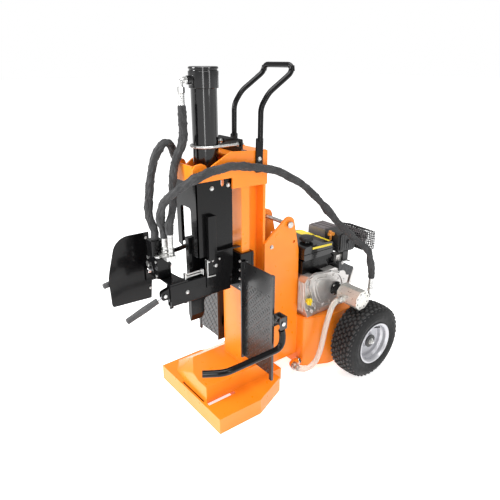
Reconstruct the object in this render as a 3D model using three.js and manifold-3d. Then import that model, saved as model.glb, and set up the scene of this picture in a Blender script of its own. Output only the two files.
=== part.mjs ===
// Petrol log splitter with an upright hydraulic ram, on two wheels.
// Millimetres. +Z is up, -Y is the side where the log stands, +X is the pump side.
// The origin is on the ground, below the middle of the mast's front face.
import * as THREE from 'three';
import { ConvexGeometry } from 'three/addons/geometries/ConvexGeometry.js';
import { mergeVertices } from 'three/addons/utils/BufferGeometryUtils.js';
import Module from 'manifold-3d';

const wasm = await Module();
wasm.setup();

// ---------------------------------------------------------------- driving dimensions
const GAP = 0.3; // between pieces that rest on each other
const RUNNING = 1.5; // between the sliding wedge head and the mast

const FLOOR_TOP = 81; // upper face of the foot's floor plate
const DECK_TOP = 165; // face that the log stands on
const MAST_SEAT = 164; // the deck's level under the mast
const FOOT_HALF = 267;
const FOOT_FRONT = -270;

const MAST_HALF = 78;
const MAST_REAR = 138;
const MAST_TOP = 1208;
const FLANGE = 45; // depth of the front box that the wedge head slides on
const SKIN = 8; // wall of the mast's boxes

const RAM_Y = -127; // the cylinder's axis is at x = 0, y = RAM_Y
const TUBE_R = 54;
const BORE_R = 45;
const ROD_R = 25;
const TUBE_BOTTOM = 985;
const TUBE_TOP = 1482;
const CAP_TOP = 1564;

const HEAD_BOTTOM = 578; // the sliding wedge head at rest
const HEAD_TOP = 764;
const HEAD_HALF = 92;
const WEDGE_HALF = 14;
const WEDGE_FRONT = -240;
const WEDGE_TOP = 870;
const WEDGE_POINT = 457;
const ROD_SEAT = 790; // where the ram's rod stands on the wedge
const ROD_LENGTH = 520;

const WING_TOP = 730;
const WING_BOTTOM = 224;

const AXLE_Y = 624;
const TYRE_R = 203;
const TYRE_X = 330; // middle plane of each tyre
const TYRE_HALF = 74;
const RIM_R = 102;

const TANK_BOTTOM = 30;
const TANK_TOP = 322;
const DRIVE_Y = 548; // engine shaft, coupling and pump
const DRIVE_Z = 459;

// ---------------------------------------------------------------- materials
const paint = (color, roughness, metalness) => () =>
  new THREE.MeshStandardMaterial({ color, roughness, metalness });
const orange = paint(0xf5701e, 0.35, 0.1);
const black = paint(0x141415, 0.35, 0.2);
const satin = paint(0x222224, 0.6, 0.1);
const tread = paint(0x55555a, 0.5, 0.3);
const silver = paint(0xb9bab8, 0.4, 0.9);
const chrome = paint(0xd8dadd, 0.12, 1.0);
const rubber = paint(0x1b1b1c, 0.85, 0.0);
const sleeve = paint(0x4a4b4d, 0.8, 0.0);
const yellow = paint(0xe0c832, 0.5, 0.0);
const clear = paint(0xe9dcc4, 0.3, 0.0);

// ---------------------------------------------------------------- shapes
const group = new THREE.Group();

function add(name, geometry, material, parent = group) {
  const mesh = new THREE.Mesh(geometry, material());
  mesh.name = name;
  parent.add(mesh);
  return mesh;
}

// An outline of straight edges, whose corners are rounded by radius where one is given.
function outline(points, radius = 0) {
  const shape = new THREE.Shape();
  const count = points.length;
  points.forEach(([u, v, own], i) => {
    const r = own ?? radius;
    if (!r) {
      if (i) shape.lineTo(u, v);
      else shape.moveTo(u, v);
      return;
    }
    const corner = new THREE.Vector2(u, v);
    const before = new THREE.Vector2(...points[(i + count - 1) % count]).sub(corner).setLength(r);
    const after = new THREE.Vector2(...points[(i + 1) % count]).sub(corner).setLength(r);
    const start = corner.clone().add(before);
    const end = corner.clone().add(after);
    if (i) shape.lineTo(start.x, start.y);
    else shape.moveTo(start.x, start.y);
    shape.quadraticCurveTo(u, v, end.x, end.y);
  });
  shape.closePath();
  return shape;
}

function disc(u, v, r) {
  return new THREE.Path().absarc(u, v, r, 0, Math.PI * 2, false);
}

// Extrusions of an outline: across X from (y, z), across Y from (x, z), and up Z from (x, y).
function extruded(shape, depth, curveSegments) {
  return new THREE.ExtrudeGeometry(shape, { depth, bevelEnabled: false, curveSegments });
}

function acrossX(shape, x0, x1, segments = 3) {
  const geometry = extruded(shape, x1 - x0, segments);
  const turn = new THREE.Matrix4().makeBasis(
    new THREE.Vector3(0, 1, 0),
    new THREE.Vector3(0, 0, 1),
    new THREE.Vector3(1, 0, 0),
  );
  return geometry.applyMatrix4(turn).translate(x0, 0, 0);
}

function acrossY(shape, y0, y1, segments = 4) {
  return extruded(shape, y1 - y0, segments).rotateX(Math.PI / 2).translate(0, y1, 0);
}

function upZ(shape, z0, z1, segments = 3) {
  return extruded(shape, z1 - z0, segments).translate(0, 0, z0);
}

function block(x0, x1, y0, y1, z0, z1) {
  const geometry = new THREE.BoxGeometry(x1 - x0, y1 - y0, z1 - z0);
  return geometry.translate((x0 + x1) / 2, (y0 + y1) / 2, (z0 + z1) / 2);
}

// A turned piece: profile is [radius, distance along the axis] from one end of the axis to the other.
function turned(axis, profile, x, y, z, sides = 24) {
  const points = profile.map(([r, along]) => new THREE.Vector2(r, along));
  const geometry = new THREE.LatheGeometry(points, sides);
  if (axis === 'x') geometry.rotateZ(-Math.PI / 2);
  if (axis === 'z') geometry.rotateX(Math.PI / 2);
  return geometry.translate(x, y, z);
}

function rod(axis, radius, length, x, y, z, sides = 16) {
  return turned(axis, [[0, 0], [radius, 0], [radius, length], [0, length]], x, y, z, sides);
}

function ringed(points, x, y, z, sides) {
  return turned('x', [...points, points[0]], x, y, z, sides);
}

// A round bar or hose along a curve.
function alongCurve(curve, radius, steps, sides) {
  const circle = new THREE.Shape();
  for (let i = 0; i < sides; i += 1) {
    const angle = (i / sides) * Math.PI * 2;
    const at = [radius * Math.cos(angle), radius * Math.sin(angle)];
    if (i) circle.lineTo(...at);
    else circle.moveTo(...at);
  }
  circle.closePath();
  return new THREE.ExtrudeGeometry(circle, { steps, extrudePath: curve });
}

// Straight runs joined by round bends, as a tube bender leaves them.
function bentBar(points, bend, radius, steps, sides = 12) {
  const at = points.map((p) => new THREE.Vector3(...p));
  const path = new THREE.CurvePath();
  let from = at[0];
  for (let i = 1; i < at.length - 1; i += 1) {
    const start = at[i].clone().add(at[i - 1].clone().sub(at[i]).setLength(bend));
    const end = at[i].clone().add(at[i + 1].clone().sub(at[i]).setLength(bend));
    path.add(new THREE.LineCurve3(from, start));
    path.add(new THREE.QuadraticBezierCurve3(start, at[i], end));
    from = end;
  }
  path.add(new THREE.LineCurve3(from, at[at.length - 1]));
  return alongCurve(path, radius, steps, sides);
}

function hose(points, radius, steps, sides) {
  const at = points.map((p) => new THREE.Vector3(...p));
  const curve = new THREE.CatmullRomCurve3(at, false, 'centripetal');
  return alongCurve(curve, radius, steps, sides);
}

// ---------------------------------------------------------------- booleans
function solidOf(geometry) {
  const bare = geometry.clone();
  bare.deleteAttribute('normal');
  bare.deleteAttribute('uv');
  const merged = mergeVertices(bare, 1e-4);
  return new wasm.Manifold(
    new wasm.Mesh({
      numProp: 3,
      vertProperties: new Float32Array(merged.attributes.position.array),
      triVerts: new Uint32Array(merged.index.array),
    }),
  );
}

function geometryOf(solid) {
  const { vertProperties, triVerts } = solid.getMesh();
  const geometry = new THREE.BufferGeometry();
  geometry.setAttribute('position', new THREE.BufferAttribute(vertProperties, 3));
  geometry.setIndex(new THREE.BufferAttribute(triVerts, 1));
  return geometry;
}

function joined(...geometries) {
  return geometryOf(geometries.map(solidOf).reduce((sum, solid) => sum.add(solid)));
}

function cut(geometry, ...tools) {
  return geometryOf(tools.map(solidOf).reduce((rest, tool) => rest.subtract(tool), solidOf(geometry)));
}

const mirrored = (points) => [...points, ...points.map(([u, ...rest]) => [-u, ...rest]).reverse()];

// ---------------------------------------------------------------- foot
function footBase() {
  const half = [
    [FOOT_HALF, FOOT_FRONT],
    [270, -35],
    [192, 152],
  ];
  const inner = half.map(([x, y]) => [x * 0.97, -59 + (y + 59) * 0.962]);
  const tray = cut(upZ(outline(mirrored(half)), 0, FLOOR_TOP), upZ(outline(mirrored(inner)), -1, FLOOR_TOP - SKIN));
  // The raised deck has an upright right side and a loading ramp on its left.
  const deckFoot = [[130, 120], [130, -250], [-77, -245], [-183, -232], [-259, -182], [-259, 120]];
  const deckRim = [[130, 120], [130, -250], [60, -250], [-10, -235], [-125, -166], [-125, 120]];
  const hull = (drop, shrink, low) =>
    new ConvexGeometry([
      ...deckFoot.map(([x, y]) => new THREE.Vector3(x - Math.sign(x) * shrink, y - Math.sign(y) * shrink, low)),
      ...deckRim.map(([x, y]) => new THREE.Vector3(x - Math.sign(x) * shrink, y - Math.sign(y) * shrink, DECK_TOP - drop)),
    ]);
  const ribs = [
    block(-6, 6, -240, 145, 0, DECK_TOP - 6),
    block(-255, 255, -66, -54, 0, FLOOR_TOP - 4),
    block(-80, 80, -60, 60, 0, 10),
    block(-80, 80, 40, 52, 5, DECK_TOP - 6),
  ];
  const plate = cut(joined(tray, hull(0, 0, FLOOR_TOP - 2)), hull(6, 6, FLOOR_TOP - 12));
  const slots = [block(131, 154, -252, -100, 60, 90), block(-77, 115, -261, -251, 60, 90)];
  const seat = block(-140, 140, -0.5, 130, MAST_SEAT, DECK_TOP + 1);
  const neck = block(-150, 150, 140, 196, 25, 95);
  return joined(cut(plate, ...slots, seat), ...ribs, neck);
}
add('foot_base', footBase(), orange);

// ---------------------------------------------------------------- mast
function mastBeam() {
  const half = [
    [MAST_HALF, 0],
    [MAST_HALF, FLANGE],
    [26, FLANGE],
    [26, MAST_REAR - 14],
    [MAST_HALF, MAST_REAR - 14],
    [MAST_HALF, MAST_REAR],
  ];
  const section = outline(mirrored(half));
  section.holes.push(outline(mirrored([[MAST_HALF - SKIN, SKIN], [MAST_HALF - SKIN, FLANGE - SKIN]])));
  section.holes.push(outline(mirrored([[18, FLANGE + SKIN], [18, MAST_REAR - 22]])));
  return upZ(section, MAST_SEAT + GAP, MAST_TOP);
}
add('mast_beam', mastBeam(), orange);

// The welded head: two cheeks on the mast, two cross plates round the cylinder and a nose.
function mastHead() {
  const cheek = outline([
    [MAST_REAR, 1067],
    [MAST_REAR, 1219],
    [-60, 1232],
    [-150, 1187],
    [-176, 1168],
    [-184, 1190, 8],
    [-205, 1200, 10],
    [-236, 1196, 8],
    [-248, 1180],
    [-248, 1122],
    [-54, 1122],
    [-54, 1074],
  ]);
  const inner = MAST_HALF + GAP;
  const pieces = [
    acrossX(cheek, inner, inner + 10),
    acrossX(cheek, -inner - 10, -inner),
    block(-inner - 1, inner + 1, -246, -GAP, 1122, 1134),
    block(-inner - 1, inner + 1, -62, MAST_REAR, 1208.5, 1218),
    block(-inner - 1, inner + 1, -248, -238, 1122, 1192),
  ];
  const passage = rod('z', TUBE_R + GAP, 300, 0, RAM_Y, 1000, 24);
  return cut(joined(...pieces), passage);
}
add('mast_head', mastHead(), orange);

// Two side plates stand behind the mast, with a lifting pin through their round tops.
function sidePlate(x0, x1) {
  const shape = new THREE.Shape();
  shape.moveTo(126, 96);
  shape.lineTo(352, 96);
  shape.lineTo(352, 420);
  shape.lineTo(346, 700);
  shape.absarc(275, 848, 37, 0.1, 2.3, false);
  shape.lineTo(165, 812);
  shape.lineTo(126, 780);
  shape.closePath();
  shape.holes.push(disc(275, 848, 10.5), disc(313, 751, 7), disc(168, 756, 8));
  return acrossX(shape, x0, x1, 6);
}
add('side_plate_right', sidePlate(MAST_HALF + GAP, 90), orange);
add('side_plate_left', sidePlate(-90, -MAST_HALF - GAP), orange);
add('lifting_pin', rod('x', 10, 204, -102, 275, 848, 16), silver);

// ---------------------------------------------------------------- hydraulic ram
function cylinderTube() {
  return turned(
    'z',
    [[BORE_R, 0], [TUBE_R, 0], [TUBE_R, TUBE_TOP - TUBE_BOTTOM], [BORE_R, TUBE_TOP - TUBE_BOTTOM], [BORE_R, 0]],
    0, RAM_Y, TUBE_BOTTOM, 24,
  );
}
// The lower port is a boss on the left, with an elbow turned up to its hose.
function lowerPort() {
  const x = -88;
  const z = 1030;
  return [
    rod('x', 15, 30, -80, RAM_Y, z, 12),
    rod('x', 10, 22, x - 10, RAM_Y, z, 12),
    rod('z', 10, 40, x, RAM_Y, z, 12),
    rod('z', 14, 20, x, RAM_Y, z + 28, 6),
  ];
}
const passage = rod('z', BORE_R + 2, 200, 0, RAM_Y, 950, 24);
add('cylinder_tube', joined(cylinderTube(), cut(joined(...lowerPort()), passage)), black);

// The cap is screwed on the tube and carries the upper port on its front.
function cylinderCap() {
  const base = TUBE_TOP + GAP;
  const high = CAP_TOP - base;
  const body = turned(
    'z',
    [[BORE_R, 0], [61, 0], [61, high - 17], [57, high - 16], [57, high - 10], [60, high - 9], [60, high - 3],
      [57, high], [0, high], [0, high - 18], [BORE_R, high - 18], [BORE_R, 0]],
    0, RAM_Y, base, 24,
  );
  return joined(body, rod('y', 17, 22, 0, RAM_Y - 78, 1514, 16));
}
add('cylinder_cap', cylinderCap(), black);

// Upper port elbow: a nut on the boss, a turn down and the hose ferrule's nut.
function portElbow() {
  const y = -232;
  return joined(
    rod('y', 14, 14, 0, -219.4, 1514, 6),
    rod('y', 9, 26, 0, y - 9, 1514, 12),
    rod('z', 9, 40, 0, y, 1483, 12),
    rod('z', 14, 24, 0, y, 1465, 6),
    rod('z', 12, 47, 0, y, 1420, 12),
  );
}
add('cylinder_port_elbow', portElbow(), silver);

function cylinderGland() {
  return joined(
    turned('z', [[ROD_R + 0.5, 0], [TUBE_R + 3, 0], [TUBE_R + 3, 14], [ROD_R + 0.5, 14], [ROD_R + 0.5, 0]],
      0, RAM_Y, TUBE_BOTTOM - 14 - GAP, 24),
    turned('z', [[ROD_R + 0.5, 0], [BORE_R - 0.5, 0], [BORE_R - 0.5, 45], [ROD_R + 0.5, 45], [ROD_R + 0.5, 0]],
      0, RAM_Y, TUBE_BOTTOM - 5, 24),
  );
}
add('cylinder_gland', cylinderGland(), black);

add('piston_rod', rod('z', ROD_R, ROD_LENGTH - GAP, 0, RAM_Y, ROD_SEAT + GAP, 24), chrome);
add('piston', rod('z', BORE_R - 0.5, 48, 0, RAM_Y, ROD_SEAT + ROD_LENGTH + GAP, 28), silver);

// A U-bolt draws the cylinder back to a cross plate that stands on the head.
const CLAMP_Z = 1254;
const CLAMP_R = TUBE_R + 7;
const CLAMP_BACK = 26;
function uBolt() {
  const steps = 8;
  const path = new THREE.CurvePath();
  const arc = [];
  for (let i = 0; i <= steps; i += 1) {
    const angle = (-i / steps) * Math.PI;
    arc.push(new THREE.Vector3(CLAMP_R * Math.cos(angle), RAM_Y + CLAMP_R * Math.sin(angle), CLAMP_Z));
  }
  path.add(new THREE.LineCurve3(new THREE.Vector3(CLAMP_R, CLAMP_BACK, CLAMP_Z), arc[0]));
  path.add(new THREE.CatmullRomCurve3(arc));
  path.add(new THREE.LineCurve3(arc[steps], new THREE.Vector3(-CLAMP_R, CLAMP_BACK, CLAMP_Z)));
  const nuts = [CLAMP_R, -CLAMP_R].map((x) => rod('y', 10, 8, x, 8 + GAP, CLAMP_Z, 6));
  return joined(alongCurve(path, 6, 22, 6), ...nuts);
}
add('cylinder_u_bolt', uBolt(), chrome);

function clampPlate() {
  const plate = joined(
    block(-96, 80, 0, 8, 1232, 1276),
    block(-70, 70, 0, 36, 1218 + GAP, 1226),
    block(-70, 70, -1, 8, 1218 + GAP, 1276),
  );
  const hole = (x) => rod('y', 6 + GAP, 40, x, -10, CLAMP_Z, 12);
  return cut(plate, hole(CLAMP_R), hole(-CLAMP_R));
}
add('clamp_plate', clampPlate(), black);

// ---------------------------------------------------------------- sliding wedge head
// It wraps the mast's front box: a face plate, two cheeks and a keeper bar behind each edge.
function wedgeHead() {
  const face = block(-HEAD_HALF, HEAD_HALF, -16, -RUNNING, HEAD_BOTTOM, HEAD_TOP);
  const inner = MAST_HALF + RUNNING;
  const cheeks = [1, -1].map((side) => {
    const [x0, x1] = [side * inner, side * HEAD_HALF].sort((a, b) => a - b);
    return block(x0, x1, -5, FLANGE + RUNNING, HEAD_BOTTOM, HEAD_TOP);
  });
  const bolts = [];
  for (const x of [-86, 86]) {
    for (let i = 0; i < 4; i += 1) {
      bolts.push(rod('y', 6.5, 9, x, -23, 600 + i * 43, 6));
    }
  }
  return joined(face, ...cheeks, ...bolts);
}
add('wedge_head', wedgeHead(), black);

function keeperBar(x0, x1) {
  const back = FLANGE + RUNNING + GAP;
  return block(x0, x1, back, back + 12, HEAD_BOTTOM, HEAD_TOP);
}
add('keeper_bar_right', keeperBar(32, HEAD_HALF), black);
add('keeper_bar_left', keeperBar(-HEAD_HALF, -32), black);

// The wedge stands in the middle of the head. Its front edge runs up past the ram's seat.
function splittingWedge() {
  const shape = outline([
    [-16.3, ROD_SEAT],
    [-186, ROD_SEAT],
    [-196, WEDGE_TOP],
    [WEDGE_FRONT, WEDGE_TOP],
    [WEDGE_FRONT, WEDGE_POINT],
    [-178, WEDGE_POINT, 12],
    [-171, 480],
    [-171, 560, 20],
    [-16.3, 584],
  ]);
  const plate = acrossX(shape, -WEDGE_HALF, WEDGE_HALF);
  // Both sides of the leading point are ground to a blade.
  const bevel = (side) => {
    const wide = side * WEDGE_HALF * 1.2;
    return acrossY(outline([[wide, 400], [wide, 500], [side * 2.5, WEDGE_POINT - 1]]), -260, -160);
  };
  const seat = rod('z', 36, 24, 0, RAM_Y, ROD_SEAT - 24, 24);
  return joined(cut(plate, bevel(1), bevel(-1)), seat);
}
add('splitting_wedge', splittingWedge(), black);

// ---------------------------------------------------------------- guard, control arm and valve
// An arched guard hangs from the head, so that the wedge can rise into it.
function ramGuard() {
  const face = outline([
    [72, 790],
    [72, 1117],
    [-95, 1117],
    [-95, 820],
    [-70, 812],
    [-62, 812],
    [-62, 1003, 8],
    [22, 1003, 10],
    [22, 790],
  ]);
  const side = outline([
    [-227, 790],
    [-227, 1117],
    [-103, 1117],
    [-103, 1090],
    [-84, 1090],
    [-84, 1117],
    [-46, 1117],
    [-46, 790],
  ]);
  return joined(
    acrossY(face, -227, -222),
    acrossX(side, 67, 72),
    block(-95, -90, -227, -196, 820, 1117),
    block(62, 70, -150, -54, 1090, 1121.7),
    rod('x', 9, 10, 70, -150, 1087, 6),
    rod('x', 9, 10, 70, -66, 1090, 6),
  );
}
add('ram_guard', ramGuard(), black);

// Two-hand levers: each turns on a pin across its mount and ends in a long rubber grip.
const LEVER_RIGHT = { x: 57, y: -396, z: 660 };
const LEVER_LEFT = { x: -182, y: -400, z: 694 };

// The arm is a rectangular tube with a hanger plate that bolts to the guard's side,
// and a box-section post that stands in front of that side.
function controlArm() {
  const wall = 5;
  const tube = cut(
    block(42, 72, -372, -62, 600, 700),
    block(42 + wall, 72 - wall, -400, 0, 600 + wall, 700 - wall),
  );
  const hanger = outline([[-192, 640], [-192, 770], [-160, 806], [-50, 806], [-50, 700], [-90, 640]]);
  const ledge = outline([[72 + GAP, -165], [90, -165], [100, -22], [72 + GAP, -30]]);
  const ears = [46, 64].map((x) => {
    const ear = outline([[-372.5, 640], [-412, 640, 8], [-412, 680, 8], [-372.5, 690]]);
    return acrossX(ear, x, x + 4);
  });
  return joined(
    tube,
    acrossX(hanger, 72, 77),
    block(72 + GAP, 98, -188, -148, 776, 975),
    block(72, 86, -192, -122, 706, 778),
    upZ(ledge, 805, 811),
    ...ears,
    block(46, 68, -376, -371, 625, 692),
    rod('x', 5, 30, 42, LEVER_RIGHT.y, LEVER_RIGHT.z, 12),
    block(52, 62, -372, -356, 588, 604),
    block(52, 62, -300, -286, 592, 604),
    rod('x', 9, 8, 71, -290, 650, 6),
    rod('x', 9, 8, 85, -150, 745, 6),
    ...[-184, -156, -130].map((y) => rod('x', 5, 6, 85, y, 770, 6)),
  );
}
add('control_arm', controlArm(), black);

// A shelf on the arm carries the valve and reaches across to the shield.
function valveShelf() {
  const top = outline([[74, -372], [74, -285], [20, -300], [-158, -316], [-158, -372]], 0);
  return joined(upZ(top, 700 + GAP, 707), block(-158, -152, -372, -316, 640, 707));
}
add('valve_shelf', valveShelf(), black);

function valveBody() {
  const body = cut(
    block(-98, -4, -386, -322, 707 + GAP, 800),
    rod('y', 9, 120, -50, -420, 742, 16),
  );
  return joined(body, block(-98, -40, -386, -330, 799, 868));
}
add('valve_body', valveBody(), black);

// The spool slides in the valve body, and the right lever moves it.
add('valve_spool', joined(rod('y', 8.5, 104, -50, -400, 742, 16), rod('y', 11, 14, -50, -412, 742, 12)), chrome);

function valvePorts() {
  const stub = (x, y, z0, z1) => [rod('z', 14, 22, x, y, z0, 6), rod('z', 11, z1 - z0 - 20, x, y, z0 + 20, 12)];
  return joined(
    block(-38, 44, -362, -318, 800 + GAP, 818),
    ...stub(-18, -338, 816, 885),
    ...stub(22, -332, 816, 910),
    rod('y', 11, 40, -80, -321, 790, 12),
    rod('y', 15, 16, -80, -300, 790, 6),
    block(-91, -30, -321, -310, 780, 812),
  );
}
add('valve_ports', cut(valvePorts(), block(-98.3, -3.7, -386.3, -321.7, 706, 800.2)), silver);

// Return pipe: from the valve round the mast's left side and down into the front of the tank.
const RETURN_PIPE = [
  [-80, -280.5, 790],
  [-80, -235, 790],
  [-116, -150, 790],
  [-116, 215, 780],
  [-116, 215, 240],
  [-116, 380, 240],
];
function tankClearance() {
  const plan = mirrored([[95, 353 - GAP], [135.3, 362 - GAP], [206, 500], [206, 600]]);
  return upZ(outline(plan), 0, 400);
}
add('return_pipe', cut(bentBar(RETURN_PIPE, 42, 10, 30, 8), tankClearance()), black);

function shieldPlate() {
  const shape = outline([
    [-340, 873],
    [-460, 875, 12],
    [-505, 846, 16],
    [-541, 716, 10],
    [-545, 689, 10],
    [-541, 556, 10],
    [-349, 548],
    [-340, 640],
  ]);
  const { y, z } = LEVER_LEFT;
  return joined(
    acrossX(shape, -166, -162),
    block(-163, -158.3, -366, -330, 650, 700),
    rod('x', 5, 28, -192, y, z, 12),
    rod('x', 9, 4, -195, y, z, 12),
  );
}
add('shield_plate', shieldPlate(), black);

function leverRod(pivot, reach) {
  const { x, y, z } = pivot;
  const lever = joined(
    bentBar([[x, y + 2, z], [x, y - 14, z - 10], reach], 10, 6, 8, 8),
    rod('x', 11, 13, x - 6.5, y, z, 16),
  );
  return cut(lever, rod('x', 5 + GAP, 20, x - 10, y, z, 12));
}

function leverGrip(from, to) {
  const start = new THREE.Vector3(...from);
  const end = new THREE.Vector3(...to);
  start.addScaledVector(end.clone().sub(start).normalize(), GAP);
  return alongCurve(new THREE.LineCurve3(start, end), 12.5, 4, 12);
}
const REACH_RIGHT = [57, -455, 634];
const REACH_LEFT = [-182, -454, 677.6];
add('lever_right', leverRod(LEVER_RIGHT, REACH_RIGHT), chrome);
add('lever_grip_right', leverGrip(REACH_RIGHT, [57, -571, 592.8]), rubber);
add('lever_left', leverRod(LEVER_LEFT, REACH_LEFT), chrome);
add('lever_grip_left', leverGrip(REACH_LEFT, [-182, -566, 659.7]), rubber);

// Twin tie rods run back from the shelf to the hanger.
function tieRods() {
  return joined(
    ...[716, 728].map((z) => rod('y', 4, 86, 62, -289, z, 8)),
    block(56, 68, -297, -283, 707 + GAP, 735),
    block(56, 71.7, -208, -196, 708, 735),
  );
}
add('tie_rods', tieRods(), chrome);

// ---------------------------------------------------------------- push handle
// A bent tube whose flattened feet are bolted to both cheeks of the head.
function pushHandle() {
  const x = 95;
  const leg = [
    [x, 90, 1262],
    [x, 92, 1402],
    [x, 134, 1458],
    [x, 262, 1538],
    [x - 4, 262, 1567],
  ];
  const other = leg.map(([u, ...rest]) => [-u, ...rest]).reverse();
  const face = MAST_HALF + GAP + 10 + GAP;
  const feet = [1, -1].map((side) => {
    const [x0, x1] = [side * face, side * (face + 9)].sort((a, b) => a - b);
    return acrossX(outline([[66, 1128], [70, 1276], [106, 1276], [102, 1128]]), x0, x1);
  });
  return joined(
    bentBar([...leg, ...other], 26, 12, 40, 8),
    ...feet,
    rod('x', 9, 7, face + 8, 84, 1187, 6),
    rod('x', 9, 7, -face - 15, 84, 1187, 6),
  );
}
add('push_handle', pushHandle(), black);

// ---------------------------------------------------------------- log wings and stop bar
// Each wing is a tread plate between two posts, held off the mast by two brackets.
// The stop bar's bracket is welded on the right wing's outer post.
const BAR_PIVOT = { x: 340, y: 14, z: 518 };
function logWing(side) {
  const span = (a, b) => [side * a, side * b].sort((p, q) => p - q);
  const [p0, p1] = span(104, 294);
  const [i0, i1] = span(98, 106);
  const [o0, o1] = span(292, 310);
  const [b0, b1] = span(MAST_HALF + 20, 112);
  const { x, y, z } = BAR_PIVOT;
  const lugs = [
    block(308, 316, y - 20, y + 20, z - 30, z + 30),
    block(308, x + 22, y + 14, y + 20, z + 6, z + 30),
    block(x + 16, x + 22, y - 20, y + 20, z - 30, z + 30),
    rod('x', 6, 46, 312, y - 4, z, 12),
  ];
  return joined(
    block(p0, p1, -5, 0, WING_BOTTOM, WING_TOP),
    block(i0, i1, -24, 16, WING_BOTTOM, WING_TOP),
    block(o0, o1, -8, 4, 198, WING_TOP),
    ...[300, 520].map((low) => block(b0, b1, -2, 122, low, low + 60)),
    ...(side > 0 ? lugs : []),
  );
}
add('log_wing_right', logWing(1), tread);
add('log_wing_left', logWing(-1), tread);

// The stop bar hangs on the bracket's pin and lies along the log's side.
function stopBar() {
  const { x, y, z } = BAR_PIVOT;
  const bar = bentBar(
    [[x, y - 4, z - 8], [x, y + 18, 442], [x, y + 6, 382], [x, -60, 380], [x, -285, 380], [x - 52, -364, 380]],
    34, 15, 26, 8,
  );
  const eye = rod('x', 14, 20, x - 10, y - 4, z, 16);
  return cut(joined(eye, bar), rod('x', 6 + 2 * GAP, 60, x - 30, y - 4, z, 16));
}
add('stop_bar', stopBar(), black);

// ---------------------------------------------------------------- oil tank, axle and wheels
// The tank flares towards the wheels. The engine plate is welded on its top.
const FILLER = { x: -122, y: 404 };
const PLATE_TOP = TANK_TOP + 8;
function oilTank() {
  const plan = mirrored([
    [95, 353, 6],
    [135, 362, 14],
    [170, 428, 20],
    [205, 500, 20],
    [205, 596, 12],
  ]);
  const wall = 5;
  const inside = plan.map(([x, y]) => [x * 0.96, 474 + (y - 474) * 0.95]);
  const shell = cut(
    upZ(outline(plan), TANK_BOTTOM, TANK_TOP),
    upZ(outline(inside), TANK_BOTTOM + wall, TANK_TOP - wall),
  );
  const plate = upZ(outline(mirrored([[96, 353], [132, 362], [205, 500], [205, 770]])), TANK_TOP - 1, PLATE_TOP);
  const saddles = [190, -200].map((x) => {
    return acrossX(outline([[580, 150], [665, 150], [665, 250, 30], [640, 323], [580, 323]]), x, x + 10);
  });
  return cut(
    joined(shell, plate, ...saddles),
    rod('x', 17 + GAP, 600, -300, AXLE_Y, TYRE_R, 20),
    rod('z', 20, 60, FILLER.x, FILLER.y, TANK_TOP - 40, 16),
  );
}
add('oil_tank', oilTank(), orange);

function fillerCap() {
  const { x, y } = FILLER;
  return joined(rod('z', 19, 22, x, y, PLATE_TOP - 21, 16), rod('z', 25, 16, x, y, PLATE_TOP + GAP, 20));
}
add('tank_filler_cap', fillerCap(), black);

function tankOutlet() {
  const outlet = joined(
    rod('y', 13, 70, 122, 290, 66, 12),
    rod('y', 21, 26, 122, 298, 66, 6),
    rod('x', 12, 44, 110, 292, 66, 12),
    rod('x', 18, 16, 148, 292, 66, 6),
  );
  return cut(outlet, tankClearance());
}
add('tank_outlet', tankOutlet(), silver);

// The axle's ends are turned down for the wheels.
const AXLE_PROFILE = [
  [0, -363], [12, -363], [12, -290], [17, -290], [17, 290], [12, 290], [12, 363], [0, 363],
];
add('axle', turned('x', AXLE_PROFILE, 0, AXLE_Y, TYRE_R, 20), black);

// Wheels: a low-pressure tyre on a deep dished rim with its hub.
const TYRE_PROFILE = [
  [RIM_R + 1, -60], [115, -65], [122, -70], [152, -TYRE_HALF], [182, -68], [197, -46], [TYRE_R, -18],
  [TYRE_R, 18], [197, 46], [182, 68], [152, TYRE_HALF], [122, 70], [115, 65], [RIM_R + 1, 60],
  [150, 62], [184, 0], [150, -62],
];
const RIM_PROFILE = [
  [13, -22], [46, -22], [46, 2], [86, 8], [86, -42], [94, -62], [106, -72], [112, -72], [112, -68],
  [RIM_R - 1, -62], [RIM_R - 1, -56], [92, -40], [92, 28], [RIM_R, 42], [RIM_R, 61], [113, 69],
  [113, 73], [107, 73], [RIM_R - 5, 64], [RIM_R - 6, 46], [86, 34], [86, 16], [44, 10], [36, 34], [13, 34],
];

function wheel(side) {
  const hub = new THREE.Group();
  hub.position.set(side * TYRE_X, AXLE_Y, TYRE_R);
  hub.rotation.z = side > 0 ? 0 : Math.PI;
  group.add(hub);
  const name = side > 0 ? 'right' : 'left';
  add(`tyre_${name}`, ringed(TYRE_PROFILE, 0, 0, 0, 24), rubber, hub);
  add(`rim_${name}`, ringed(RIM_PROFILE, 0, 0, 0, 20), silver, hub);
}
wheel(1);
wheel(-1);

// ---------------------------------------------------------------- engine
const ENGINE_FOOT = PLATE_TOP + GAP;

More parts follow.
